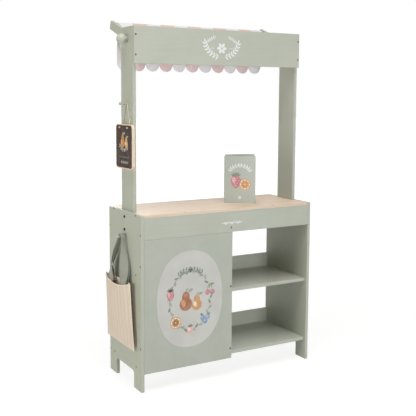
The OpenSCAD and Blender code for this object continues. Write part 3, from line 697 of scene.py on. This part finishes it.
def ink(name, roughness, grain, wear):
    """Ink that takes its colour from the mesh and lets a little of a lighter ground through."""
    made, start = new_material(name)
    place = start.place()
    speck = place.noise(grain, 4.0, 0.7)
    wash = place.noise(70, 3.0)
    own = start.node("Attribute", out="Color", attribute_name="ink")
    pale = start.node("Mix", {0: 0.28, 6: own, 7: white}, out=2, data_type="RGBA")
    tone = wear * speck.rise(0.45, 0.75) + 0.5 * wash.rise(0.4, 0.75)
    surface(start, tone.pick(own, pale), roughness, speck, 0.03 * mm, Specular_IOR_Level=0.25)
    return made


ink_step, ink_lift = 0.03, 0.06
leaf_lean = math.radians(48)
left_wall = Matrix.Rotation(-math.pi / 2, 4, "Z") @ Matrix.Rotation(math.pi / 2, 4, "X")
front_wall = Matrix.Rotation(math.pi / 2, 4, "X")

sign_wood = pale_wood("sign_wood", (95, 95, 3), (620, 620, 26), tint(243, 226, 205), tint(229, 204, 176))
finish_nodes(sign_wood, "chalk_board")

chalk_face, start = new_material("chalk_face")
place = start.place()
dust = place.noise((55, 40, 22), 4.0, 0.65)
grit = place.noise(1400, 2.0)
tone = 0.6 * dust.rise(0.42, 0.8) + 0.2 * grit
surface(start, tone.pick(tint(74, 61, 59), tint(118, 106, 102)), 0.82, grit, 0.06 * mm,
        Specular_IOR_Level=0.2)
finish_nodes(chalk_face, "chalk_panel")

chalk_white = tint(226, 222, 216)
chalk_orange = tint(206, 142, 84)
chalk_amber = tint(228, 176, 120)
chalk_blue = tint(150, 178, 200)
chalk_green = tint(168, 180, 158)
chalk = ink("coloured_chalk", 0.9, 1500, 0.9)
bm = ink_sheet()
sprig(bm, arc(0, 10, 62, 40, 205, 335, 12)[::-1], 8, chalk_white, 1.2, ink_lift)
pear(bm, -9, 17, 44, chalk_orange, chalk_amber, chalk_white, chalk_green, ink_lift)
pear(bm, 17, 13, 34, chalk_amber, chalk_white, chalk_white, chalk_green, ink_lift + 3 * ink_step)
for i in range(9):
    dab(bm, (i - 4) * 8, -30 - 1.6 * (i % 2), 3, 3, chalk_blue, ink_lift)
sprig(bm, [Vector((x, -46)) for x in range(-24, 25, 6)], 6, chalk_white, 1.0, ink_lift)
printed(bm, on_face("chalk_panel", 0, left_wall), "chalk_drawing", chalk, "chalk_sign", "chalk_face")


# The label: a large oval of matt grey film on the front panel, printed with a wreath of leaves and
# fruit round two pears.


def berries(bm, x, y, size, skin, shine, leaf, lift):
    """Three round berries on two leaves."""
    mark = fruit_pen(bm, x, y, size, lift)
    for turn in (0.7, 2.4):
        petal(bm, (x, y), 0.42 * size, turn, 0.5 * size, 0.22 * size, leaf, lift, sides=24)
    for i, (right, up) in enumerate(((-0.24, 0.02), (0.24, 0.04), (0.0, -0.3))):
        mark(right, up, 0.48, 0.48, skin, 1 + 2 * i)
        mark(right - 0.07, up + 0.08, 0.17, 0.14, shine, 2 + 2 * i, 0.6)


def strawberry(bm, x, y, size, skin, shine, seed, leaf, lift):
    """A strawberry with rows of seeds and a star of leaves."""
    mark = fruit_pen(bm, x, y, size, lift)
    mark(0, -0.05, 0.6, 0.8, skin, 0, taper=0.34)
    mark(-0.13, 0.05, 0.2, 0.4, shine, 1, taper=0.3)
    for row in range(4):
        for i in range(4 - row):
            mark((i - (3 - row) / 2) * 0.17, 0.18 - 0.15 * row, 0.035, 0.06, seed, 2, sides=8)
    for i in range(5):
        turn = math.pi * (0.1 + 0.2 * i)
        mark(0.16 * math.cos(turn), 0.32 + 0.1 * math.sin(turn), 0.34, 0.12, leaf, 3, turn, 1.0, sides=12)


def orange_half(bm, x, y, size, peel, pith, flesh, lift):
    """Half an orange with its segments."""
    for i, (share, shade) in enumerate(((1.0, peel), (0.86, pith))):
        dab(bm, x, y, share * size, share * size, shade, lift + i * ink_step, sides=32)
    for i in range(8):
        turn = math.pi * (i + 0.5) / 4
        petal(bm, (x, y), 0.23 * size, turn, 0.36 * size, 0.24 * size, flesh, lift + 2 * ink_step, 0.6)


def cherries(bm, x, y, size, skin, shine, leaf, lift):
    """Two cherries on their stems."""
    mark = fruit_pen(bm, x, y, size, lift)
    for side in (-1, 1):
        stem = arc(x - 0.02 * size, y - 0.1 * size, side * 0.44 * size, 1.0 * size, 0, 80, 8)
        stroke(bm, stem, 0.05 * size, leaf, lift)
        mark(side * 0.23, -0.24, 0.42, 0.42, skin, 1)
        mark(side * 0.23 - 0.07, -0.17, 0.12, 0.1, shine, 2)
    mark(0.2, 0.4, 0.4, 0.17, leaf, 1, 0.1, 1.0)


def sprig_pair(bm, x, y, width, height, begin, end, steps, *look):
    """Two sprigs on an ellipse about a point, one the mirror image of the other."""
    for first, last in ((begin, end), (180 - begin, 180 - end)):
        sprig(bm, arc(x, y, width, height, first, last, steps), *look)


label_width = 220 * mm
label_height = 290 * mm
label_thickness = 0.25 * mm
label_fullness = 2.25
label_side, label_rise = 2 * mm, 8.5 * mm
on_front = Matrix.Translation((label_side, 0, label_rise)) @ on_face("front_panel", 1, front_wall)

film, start = new_material("label_film")
place = start.place()
mottle = place.noise(14, 3.0)
tooth = place.noise(1100, 2.0)
colour = mottle.rise(0.3, 0.7).pick(tint(197, 196, 191), tint(205, 204, 199))
surface(start, colour, 0.55 + 0.1 * tooth, tooth, 0.03 * mm, Specular_IOR_Level=0.35)

bm = bmesh.new()
oval = bmesh.ops.create_circle(bm, cap_ends=True, segments=112, radius=1.0)["verts"]
for vert in oval:
    angle = math.atan2(vert.co.y, vert.co.x)
    for i, (length, wave) in enumerate(((label_width, math.cos(angle)), (label_height, math.sin(angle)))):
        vert.co[i] = length / 2 * math.copysign(abs(wave) ** (2 / label_fullness), wave)
raised = bmesh.ops.extrude_face_region(bm, geom=bm.faces[:])["geom"]
bmesh.ops.translate(bm, vec=(0, 0, label_thickness), verts=points_of(raised))
bmesh.ops.transform(bm, matrix=on_front, verts=bm.verts)
add_piece("front_label", bm, film, "stall", "sage_paint", crease=35.0)

leaf_green = tint(128, 138, 122)
leaf_pale = tint(158, 166, 148)
rose = tint(196, 128, 138)
rose_pale = tint(224, 172, 176)
brown = tint(168, 108, 74)
honey = tint(206, 152, 104)
cream = tint(240, 224, 200)
sky = tint(138, 160, 188)
sky_pale = tint(186, 200, 216)
print_ink = ink("print_ink", 0.6, 900, 0.5)

bm = ink_sheet()
top = label_thickness / mm + ink_lift
wreath = 0, -4, 138, 176
leaf_count = 34
for i in range(leaf_count):
    angle = 360 * i / leaf_count
    here, ahead = arc(*wreath, angle, angle + 4, 1)
    along = math.atan2(*(ahead - here).yx)
    lean = along + math.radians(34 if i % 2 else -34)
    petal(bm, here, 5, lean, 17, 7, leaf_pale if i % 3 else leaf_green, top)
stroke(bm, arc(*wreath, 0, 360, 60), 1.4, leaf_green, top + ink_step)
above = top + 2 * ink_step
strawberry(bm, -66, 18, 40, rose, rose_pale, cream, leaf_green, above)
cherries(bm, 67, 22, 38, rose, rose_pale, leaf_green, above)
orange_half(bm, -49, -66, 36, honey, cream, honey, above)
berries(bm, 51, -64, 34, sky, sky_pale, leaf_green, above)
strawberry(bm, 0, -94, 32, rose_pale, cream, cream, leaf_green, above)
pear(bm, -15, -4, 64, brown, honey, leaf_green, leaf_pale, above)
pear(bm, 22, -12, 52, honey, cream, leaf_green, leaf_pale, above + 3 * ink_step)
sprig_pair(bm, 0, 56, 96, 64, 152, 92, 10, 12, leaf_green, 1.2, above)
printed(bm, on_front, "front_label_print", print_ink, "stall", "sage_paint")


# The white prints on the sign board and the apron: a garland of leafy stems round a flower, and
# a short row of leaves and dots, both screen printed straight on the paint.

print_white = tint(228, 232, 230)
flower_level = -2
bm = ink_sheet()
sprig_pair(bm, 0, 21, 118, 100, 262, 188, 14, 12, print_white, 1.5, ink_lift)
sprig_pair(bm, 0, -4, 116, 78, 150, 118, 8, 7, print_white, 1.1, ink_lift)
for i in range(6):
    petal(bm, (0, flower_level), 10, math.pi * i / 3, 15, 9, print_white, ink_lift, 0.7, 24)
dab(bm, 0, flower_level, 7, 7, tint(196, 200, 190), ink_lift + ink_step)
for side in (-1, 1):
    stroke(bm, [Vector((side * x, flower_level)) for x in (26, 34, 42)], 1.6, print_white, ink_lift)
printed(bm, on_face("sign_board", 1, front_wall), "sign_print", print_ink, "stall", "sage_paint")

apron_print_side = 3
bm = ink_sheet()
for i in range(-3, 4):
    spot = apron_print_side + 11 * i
    if i % 2:
        dab(bm, spot, -3, 5, 5, print_white, ink_lift, sides=16)
        continue
    for lean in (50, 130):
        turn = math.radians(lean)
        dab(bm, spot + 5 * math.cos(turn), -8 + 6 * math.sin(turn), 12, 5,
            print_white, ink_lift, turn, 1.0, sides=16)
printed(bm, on_face("front_apron", 1, front_wall), "apron_print", print_ink, "stall", "sage_paint")


# The awning roof: one length of striped cotton, sewn in a sleeve round the pivot rod, drawn along the
# arms with a shallow sag and laid over the tip rod. Its stripes are sewn edge to edge.


def cloth_grid(across, along, place, cut):
    """A grid of cloth. Place gives a point from its shares across and along, and cut its flat place."""
    bm = bmesh.new()
    bmesh.ops.create_grid(bm, x_segments=across, y_segments=along, size=0.5)
    flat = bm.loops.layers.uv.new("cut")
    for face in bm.faces:
        for loop in face.loops:
            loop[flat].uv = cut(loop.vert.co.x + 0.5, loop.vert.co.y + 0.5)
    for vert in bm.verts:
        vert.co = place(vert.co.x + 0.5, vert.co.y + 0.5)
    return bm


def thicken(piece, thickness, offset=0.0):
    """Gives a sheet its thickness."""
    wall = piece.modifiers.new("thickness", "SOLIDIFY")
    wall.thickness = thickness
    wall.offset = offset


def at_share(line, share):
    """The point at a share of the points of a line."""
    spot = share * (len(line) - 1)
    i = min(int(spot), len(line) - 2)
    return line[i].lerp(line[i + 1], spot - i)


def flat_place(start):
    """The place on the flat cloth in metres, as a vector and as its two numbers."""
    cut = start.node("UVMap", uv_map="cut")
    return cut, *cut.axes()[:2]


def near(value, low, high):
    """1 where a value is within low of 0, and 0 beyond high."""
    return 1 - value.math("ABSOLUTE", value).rise(low, high)


def from_edge(value, width):
    """Distance from the nearer edge of a cloth, for a value that goes from 0 to its width."""
    return value.math("MINIMUM", value, width - value)


def dashes(value, pitch, low=-0.2):
    """The stitches of a seam that runs along a value in metres."""
    return value.math("SINE", value * (2 * math.pi / pitch)).rise(low, 0.2)


def yarn(fleck, *tints):
    """The colour of cotton that goes from one tint to the other with a fleck."""
    return fleck.rise(0.25, 0.75).pick(*tints)


def weave(cut, threads):
    """Height of a plain weave, over and under, with this many threads a metre."""
    u, v = cut.axes()[:2]
    slub = cut.noise((90, 1400, 1), 2.0) + cut.noise((1400, 90, 1), 2.0)
    over = cut.math("SINE", u * (math.pi * threads)) * cut.math("SINE", v * (math.pi * threads))
    return 0.35 * over + 0.4 * slub


stripe_count = 11
cloth_thickness = 1.0 * mm
cloth_hem, cloth_stitch = 4.0 * mm, 3.2 * mm
roof_low, roof_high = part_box("awning_roof")
cloth_left, cloth_width = roof_low.x, roof_high.x - roof_low.x
stripe_width = cloth_width / stripe_count
pivot_place, tip_place = box_middle("pivot_rod"), box_middle("tip_rod")
arm_angle = math.atan2(tip_place.z - pivot_place.z, tip_place.y - pivot_place.y)
tip_reach = math.hypot(tip_place.z - pivot_place.z, tip_place.y - pivot_place.y)
roof_sag, roof_slack, roof_pull = 5.0 * mm, 1.3 * mm, 1.5 * mm
held_share = 0.3
pivot_sleeve = 6.8 * mm
tip_flap = 11.6 * mm

roof_line = [pivot_sleeve * point for point in arc(0, 0, 2, 2, 300, 90, 14)[:-1]]
for i in range(25):
    u = i / 24
    height = pivot_sleeve + (tip_flap - pivot_sleeve) * u - 4 * roof_sag * u * (1 - u)
    roof_line.append(Vector((tip_reach * u, height)))
roof_line += [Vector((tip_reach, 0)) + tip_flap * point for point in arc(0, 0, 2, 2, 90, 0, 8)[1:]]
roof_steps = [(ahead - here).length for here, ahead in zip(roof_line, roof_line[1:])]
roof_lengths = [Vector((sum(roof_steps[:i]), 0)) for i in range(len(roof_line))]
along_arm = Vector((0, math.cos(arm_angle), math.sin(arm_angle)))
off_arm = Vector((0, -math.sin(arm_angle), math.cos(arm_angle)))


def roof_point(s, t):
    """A point of the roof: slack between the seams, held flat on both rods."""
    here = at_share(roof_line, t)
    free = max(0.0, min(1.0, here.x / (held_share * tip_reach), (1 - here.x / tip_reach) / held_share))
    sink_in = roof_slack * abs(math.sin(math.pi * s * stripe_count)) + roof_pull * math.sin(math.pi * s)
    edge = Vector((cloth_left + s * cloth_width, pivot_place.y, pivot_place.z))
    return edge + here.x * along_arm + (here.y - free * sink_in) * off_arm


def roof_cut(s, t):
    """The flat place of a point of the roof."""
    return s * cloth_width, at_share(roof_lengths, t).x


def awning_cotton(name, hem, blush_tints, pale_tints):
    """Striped cotton. Hem gives, from the flat place, how far a point is from the sewn edge in metres."""
    made, start = new_material(name)
    cut, u, v = flat_place(start)
    wave = start.math("SINE", u * (math.pi / stripe_width))
    fleck = cut.noise((260, 260, 1), 4.0, 0.7)
    colour = wave.rise(-0.03, 0.03).pick(yarn(fleck, *blush_tints), yarn(fleck, *pale_tints))
    seam = near(wave, 0.02, 0.07)
    edge = hem(u, v)
    run = near(edge - cloth_hem, 0.25 * mm, 0.6 * mm)
    on_seam, on_run = dashes(v, cloth_stitch), dashes(u + v, cloth_stitch)
    sewn = start.math("MAXIMUM", 0.55 * seam * on_seam, 0.6 * run * on_run)
    fold = 1 - edge.rise(cloth_hem, cloth_hem + 1.0 * mm)
    shaded = (0.45 * seam + 0.10 * fold).pick(colour, tint(188, 168, 164))
    height = weave(cut, 1100) - 1.2 * seam + 0.5 * fold - 0.8 * sewn
    surface(start, sewn.pick(shaded, tint(244, 236, 232)), 0.88, height, 0.18 * mm,
            Sheen_Weight=0.3, Specular_IOR_Level=0.15)
    return made


roof_blush = tint(221, 182, 172), tint(234, 199, 189)
roof_pale = tint(226, 223, 227), tint(240, 237, 239)
roof_cotton = awning_cotton("awning_cotton_roof", lambda u, v: from_edge(u, cloth_width),
                            roof_blush, roof_pale)
bm = cloth_grid(stripe_count * 10, 70, roof_point, roof_cut)
roof = add_piece("awning_roof_cloth", bm, roof_cotton, "awning", "awning_cloth", "awning_roof")
thicken(roof, cloth_thickness)


# The valance: the same cotton hung from a sleeve on the tip rod, one round scallop to a stripe. It
# stays upright as the awning tilts, and waves a little between its stripes.

sleeve_reach = 9.8 * mm
scallop_radius = stripe_width / 2
scallop_gap = 0.3 * mm
cusp_drop = 3.0 * mm
fall_length = tip_place.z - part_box("awning_valance")[0].z
sleeve_share = 0.24
sleeve_length = 2 * math.pi * sleeve_reach
valance_sway = 2.01 * mm


def scallop_edge(s):
    """How far below the tip rod the scalloped edge is at a share of the width."""
    off = (s * stripe_count) % 1.0 - 0.5
    reach = scallop_radius - scallop_gap
    across = min(abs(off) * stripe_width, reach)
    return fall_length - scallop_radius + max(math.sqrt(reach ** 2 - across ** 2), cusp_drop)


def valance_point(s, t):
    """Round the rod from below, then down to the scallops, with a soft wave that grows as it falls."""
    x = cloth_left + s * cloth_width
    if t < sleeve_share:
        angle = 2 * math.pi * t / sleeve_share
        back, up = math.sin(angle), math.cos(angle)
        return Vector((x, tip_place.y - sleeve_reach * back, tip_place.z - sleeve_reach * up))
    fall = (t - sleeve_share) / (1 - sleeve_share)
    down = sleeve_reach + fall * (scallop_edge(s) - sleeve_reach)
    drop = down / fall_length
    sway = math.cos(2 * math.pi * s * stripe_count) + 0.5 * math.sin(2 * math.pi * s * 2.5 + 1.0)
    return Vector((x, tip_place.y + valance_sway * sway * drop ** 2, tip_place.z - down))


def valance_cut(s, t):
    """The flat place of a point of the valance, measured from the top of its hanging part."""
    if t < sleeve_share:
        return s * cloth_width, (t / sleeve_share - 1) * sleeve_length
    fall = (t - sleeve_share) / (1 - sleeve_share)
    return s * cloth_width, fall * (scallop_edge(s) - sleeve_reach)


def scallop_hem(u, v):
    """Distance from the round edge of the nearest scallop, for points below the middle of its round."""
    off = (u.math("FRACT", u / stripe_width) - 0.5) * stripe_width
    below = v.math("MAXIMUM", v - (fall_length - scallop_radius - sleeve_reach), 0.0)
    return scallop_radius - u.math("SQRT", off * off + below * below)


# The scallops take much paler tints than the roof of the same cotton. This is painted light: it brightens
# the valance where it hangs in the shade of the sign board, as if light shone through the thin cloth from
# behind.
scallop_blush_backlit = tint(240, 216, 217), tint(249, 228, 229)
scallop_pale_backlit = tint(245, 245, 252), tint(251, 251, 254)
backlit_scallop_cotton = awning_cotton("awning_cotton_scallops_backlit", scallop_hem, scallop_blush_backlit, scallop_pale_backlit)
bm = cloth_grid(stripe_count * 16, 72, valance_point, valance_cut)
valance = add_piece("awning_valance_cloth", bm, backlit_scallop_cotton, "valance", "awning_cloth",
                    "awning_valance", "valance_sleeve")
thicken(valance, cloth_thickness)
scallop_area = stripe_count * (math.pi * scallop_radius ** 2 / 2)
straight_area = cloth_width * (fall_length - sleeve_reach - scallop_radius)


# The bag: a small tote of striped cotton with a folded hem, two side seams and a sewn foot. It hangs
# open on its peg by two handles, and its mouth dips in front.

bag_low, bag_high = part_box("bag_body")
bag_middle = (bag_low.y + bag_high.y) / 2
bag_width = bag_high.y - bag_low.y
bag_height = bag_high.z - bag_low.z
bag_cloth = 1.2 * mm
bag_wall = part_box("left_side_panel")[0].x
mouth_depth, foot_depth = 20 * mm, 6 * mm
mouth_out, foot_out = 16 * mm, 11 * mm
mouth_draw = 9 * mm
mouth_back = 8 * mm
front_dip, back_dip = 16 * mm, 4 * mm
hem_depth, rolled_edge = 13 * mm, 4.5 * mm
edge_share = 0.2
foot_round = 5 * mm
wide_fold, fine_fold = 0.9 * mm, 0.6 * mm
belly_rise, hem_rise = 1.6 * mm, 0.7 * mm
crease_depth, crease_width, crease_lean, crease_level = 1.2 * mm, 9 * mm, 14 * mm, 0.33
waist_share, foot_share = 0.014, 0.012


def bag_point(s, t):
    """A point of the bag: s goes once round it from its back edge, and t up it from its foot."""
    angle = 2 * math.pi * s
    out = math.sin(angle)
    dip = (front_dip if out > 0 else back_dip) * out * out
    top = bag_height - dip
    up = top * t
    half = (foot_depth + (mouth_depth - foot_depth) * math.sin(math.pi / 2 * t)) / 2
    half *= math.sqrt(min(1.0, 0.02 + up / foot_round))
    middle = foot_out + (mouth_out - foot_out) * t
    side = math.cos(angle)
    fold = wide_fold * math.sin(9.0 * side + 1.4 * t) * t
    fold += fine_fold * math.sin(15.0 * side - 2.0 * t + 0.7) * t * t
    off_crease = (up - crease_level * top - crease_lean * side) / crease_width
    belly = belly_rise * math.sin(math.pi * t) - crease_depth * math.exp(-off_crease ** 2)
    hem = hem_rise * min(1.0, max(0.0, 1 - (top - up - hem_depth) / (1.5 * mm))) if out > 0 else 0.0
    reach = half * out * abs(out) ** edge_share
    reach += (fold + belly * (1 - side * side) + hem) * (out if out > 0 else 0.4 * out)
    narrow = 1 - waist_share * math.sin(math.pi * t) - foot_share * (1 - t) ** 6
    across = bag_middle + mouth_back * t + (bag_width / 2 - mouth_draw * t) * side * narrow
    return Vector((bag_wall - middle - reach, across, bag_low.z + up))


def bag_cut(s, t):
    """The flat place of a point of the bag: across its width, and up from its foot."""
    return 0.5 * bag_width * (1 + math.cos(2 * math.pi * s)), t * bag_height


ticking, start = new_material("bag_ticking")
cut, u, v = flat_place(start)
stripe_pitch = bag_width / 9
wave = start.math("SINE", u * (2 * math.pi / stripe_pitch) + 0.6)
thread = start.math("SINE", u * (2 * math.pi / (stripe_pitch / 5)))
fleck = cut.noise((400, 120, 1), 4.0, 0.7)
band = wave.rise(-0.25, 0.35)
peach = yarn(fleck, tint(234, 211, 186), tint(244, 226, 204))
lilac = yarn(fleck, tint(220, 204, 199), tint(233, 219, 214))
colour = (0.22 * thread.rise(0.2, 0.8)).pick(band.pick(lilac, peach), tint(248, 240, 230))
hem_line = near(v - (bag_height - hem_depth), 0.3 * mm, 0.8 * mm)
side_seam = 1 - from_edge(u, bag_width).rise(1.0 * mm, 2.2 * mm)
height = weave(cut, 900) - 0.8 * hem_line - 0.9 * side_seam
sewn = hem_line * dashes(u, 3.4 * mm, -0.1)
rolled = v.rise(bag_height - rolled_edge, bag_height - rolled_edge + 1 * mm)
pale_edge = start.math("MAXIMUM", 0.6 * rolled, start.math("MAXIMUM", 0.5 * sewn, 0.4 * side_seam))
surface(start, pale_edge.pick(colour, tint(248, 240, 230)), 0.9, height, 0.2 * mm,
        Sheen_Weight=0.25, Specular_IOR_Level=0.12)

bm = cloth_grid(144, 56, bag_point, bag_cut)
bmesh.ops.remove_doubles(bm, verts=bm.verts, dist=0.02 * mm)
rims = [edge for edge in bm.edges if edge.is_boundary]
foot = [edge for edge in rims if max(vert.co.z for vert in edge.verts) < bag_low.z + 1 * mm]
bmesh.ops.contextual_create(bm, geom=foot)
bag = add_piece("bag_cloth_body", bm, ticking, "bag", "bag_cloth", "bag_body")
thicken(bag, bag_cloth, -1.0)


# The bag handles: two soft straps of grey-green cotton that arch over the peg, one on the other. Each
# end is sewn to the inside of the mouth under a small patch of tan cotton.

bag_peg_place = box_middle("bag_peg")
bag_peg_place.x = bag_wall
handle_width, handle_gather = 38 * mm, 13 * mm
handle_thickness = 1.3 * mm
handle_arch = 10 * mm
handle_rest = 4.6 * mm
handle_layer = 2.8 * mm
handle_spread = 40 * mm
handle_drop = 144 * mm
handle_back = 18 * mm
handle_bow, bow_skew = 15 * mm, 1.4
handle_fold, handle_sag = 1.3 * mm, 1.2 * mm
handle_step = 0.004
handle_lean = math.radians(20)
handle_peg_out, front_out, back_out = 10 * mm, 20.5 * mm, 12.5 * mm
on_peg = 0.12
patch_width, patch_height = 35 * mm, 21 * mm
patch_thickness = 0.9 * mm
patch_share, patch_inset = 0.062, 0.04


def handle_middle(share, layer):
    """A point of a handle's middle line, from end to end over the peg: its side, height and looseness."""
    far = 2 * abs(share - 0.5)
    side = 1 if share > 0.5 else -1
    radius = handle_arch + layer
    angle = math.pi / 2 - (math.pi / 2 - handle_lean) * min(far / on_peg, 1)
    spot = Vector((radius * math.cos(angle), handle_rest - handle_arch + radius * math.sin(angle)))
    u = max(far - on_peg, 0) / (1 - on_peg)
    spot = spot.lerp(Vector((handle_spread, -handle_drop)), u)
    return side * (spot.x + handle_bow * math.sin(math.pi * u ** bow_skew)) + handle_back * u, spot.y, u


def handle_place(layer, bag_out, lift=0.0):
    """Gives the points of a handle in this layer on the peg, which ends this far out in the bag."""
    def place(s, t):
        y, z, u = handle_middle(t, layer)
        ahead = handle_middle(min(t + handle_step, 1.0), layer)
        behind = handle_middle(max(t - handle_step, 0.0), layer)
        along = Vector((0, ahead[0] - behind[0], ahead[1] - behind[1])).normalized()
        eased = u * u * (3 - 2 * u)
        twist = math.pi / 2 * eased
        flat = Vector((-1, 0, 0))
        wide = math.cos(twist) * flat + math.sin(twist) * flat.cross(along)
        outward = along.cross(wide)
        half = (handle_gather + (handle_width - handle_gather) * eased) / 2
        off = 2 * s - 1
        fold = handle_fold * (1 - eased) * (0.5 - 0.5 * math.cos(3 * math.pi * off + 0.4 * math.sin(5 * u)))
        sag = handle_sag * math.sin(math.pi * u) * (1 - off * off)
        centre = bag_peg_place + Vector((-handle_peg_out - (bag_out - handle_peg_out) * u, y, z))
        return centre + off * half * wide + (fold + sag + lift) * outward
    return place


strap, start = new_material("handle_cotton")
cut, u, v = flat_place(start)
fleck = cut.noise((500, 90, 1), 4.0, 0.7)
twill = start.math("SINE", (u + v) * (2 * math.pi / (1.3 * mm)))
sewn = near(from_edge(u, handle_width) - 3 * mm, 0.3 * mm, 0.7 * mm) * dashes(v, 3.4 * mm)
colour = yarn(fleck, tint(152, 155, 146), tint(174, 176, 167))
surface(start, (0.5 * sewn).pick(colour, tint(196, 198, 186)), 0.9, 0.4 * twill + fleck - sewn, 0.15 * mm,
        Sheen_Weight=0.3, Specular_IOR_Level=0.12)

patch_cotton, start = new_material("patch_cotton")
cut, u, v = flat_place(start)
fleck = cut.noise((500, 300, 1), 4.0, 0.7)
edge = start.math("MINIMUM", from_edge(u, patch_width), from_edge(v, patch_height))
sewn = near(edge - 2 * mm, 0.3 * mm, 0.7 * mm)
colour = yarn(fleck, tint(214, 172, 130), tint(236, 200, 162))
surface(start, (0.6 * sewn).pick(colour, tint(246, 224, 196)), 0.9, weave(cut, 900) - 0.8 * sewn,
        0.15 * mm, Sheen_Weight=0.25, Specular_IOR_Level=0.12)

handle_run = 2 * math.hypot(handle_spread, handle_drop)
for name, layer, bag_out, face in (("front", handle_layer, front_out, -1), ("back", 0.0, back_out, 1)):
    bm = cloth_grid(20, 110, handle_place(layer, bag_out), lambda s, t: (s * handle_width, t * handle_run))
    handle = add_piece("bag_" + name + "_strap", bm, strap, "bag", "handle_cloth", "bag_" + name + "_handle")
    thicken(handle, handle_thickness)
    on_strap = handle_place(layer, bag_out, face * (handle_thickness + patch_thickness) / 2)
    for end, low, high in (("rear", 1 - patch_share, 1.0), ("fore", patch_share, 0.0)):
        bm = cloth_grid(
            10, 10, lambda s, t: on_strap(patch_inset + (1 - 2 * patch_inset) * s, low + (high - low) * t),
            lambda s, t: (s * patch_width, t * patch_height))
        patch = add_piece("bag_" + name + "_patch_" + end, bm, patch_cotton, "bag", "bag_cloth")
        thicken(patch, patch_thickness)


# The menu card: a stiff folded card that stands on the counter, printed with a white sprig over a
# strawberry and half an orange. Its two leaves meet in a round fold at the spine.

leaf_thickness = 1.2 * mm
leaf_gap = 0.05 * mm
leaf_bow = 0.8 * mm
leaf_width = 98 * mm
card_low, card_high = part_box("menu_front_leaf")
leaf_height = card_high.z - card_low.z
back_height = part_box("menu_back_leaf")[1].z - card_low.z
hinge = next(joint for joint in frame["joints"] if joint["name"] == "menu_open")
spine = Matrix.Translation((hinge["pos_m"][0], hinge["pos_m"][1], card_low.z))
front_turn = math.radians(-37)
back_turn = math.radians(-19)

card, start = new_material("menu_card")
place = start.place()
pulp = place.noise(260, 4.0, 0.7)
tooth = place.noise(1600, 2.0)
colour = pulp.rise(0.3, 0.7).pick(tint(180, 185, 177), tint(191, 195, 187))
surface(start, colour, 0.6 + 0.1 * pulp, tooth, 0.03 * mm, Specular_IOR_Level=0.35)


def leaf_curve(s, t):
    """How far a leaf of the card bows out."""
    return leaf_gap + leaf_bow * math.sin(math.pi * s) * (0.4 + 0.6 * t)


def leaf_place(turn, side, height, inset):
    """Gives the points of a leaf at this turn about the spine, on one side of it and from this inset."""
    def place(s, t):
        across = inset + s * (leaf_width - inset)
        return spine @ Matrix.Rotation(turn, 4, "Z") @ Vector((across, side * leaf_curve(s, t), t * height))
    return place


fold_reach = leaf_thickness + leaf_gap
for name, turn, side, height, inset in (("front", front_turn, -1, leaf_height, 0.5 * leaf_thickness),
                                        ("back", back_turn, 1, back_height, fold_reach + leaf_gap)):
    bm = cloth_grid(24, 16, leaf_place(turn, side, height, inset), lambda s, t: (s * leaf_width, t * height))
    twin = bmesh.ops.duplicate(bm, geom=bm.verts[:] + bm.edges[:] + bm.faces[:])["geom"]
    through_card = Matrix.Rotation(turn, 3, "Z") @ Vector((0, side * leaf_thickness, 0))
    bmesh.ops.translate(bm, vec=through_card, verts=points_of(twin))
    bmesh.ops.bridge_loops(bm, edges=[edge for edge in bm.edges if edge.is_boundary])
    body = "menu_" + name
    add_piece(body + "_card", bm, card, body, "menu_card", body + "_leaf", crease=40.0)

bm = bmesh.new()
ring = arc(0, 0, 2 * fold_reach, 2 * fold_reach, 0, 360, 24)[:-1]
for end_edges in sweep(bm, [[(*point, level) for point in ring] for level in (0, leaf_height)]):
    bmesh.ops.contextual_create(bm, geom=end_edges)
bmesh.ops.transform(bm, matrix=spine, verts=bm.verts)
add_piece("menu_spine_fold", bm, card, "menu_front", "menu_card", crease=40.0)

bm = ink_sheet()
middle = leaf_width / mm / 2
sprig_pair(bm, middle, 92, 70, 56, 168, 96, 10, 9, print_white, 1.1, ink_lift)
orange_half(bm, middle + 16, 60, 36, honey, cream, honey, ink_lift)
strawberry(bm, middle - 13, 70, 52, rose, rose_pale, cream, leaf_green, ink_lift + 3 * ink_step)
for i in range(5):
    petal(bm, (middle, 18), 3.2, 2 * math.pi * i / 5, 5, 3.6, print_white, ink_lift, 0.6)
for vert in bm.verts:
    x, y = mm * vert.co.xy
    vert.co.z += (leaf_thickness + leaf_curve(x / leaf_width, y / leaf_height)) / mm
on_card = spine @ Matrix.Rotation(front_turn, 4, "Z") @ front_wall
printed(bm, on_card, "menu_print", print_ink, "menu_front", "menu_card")
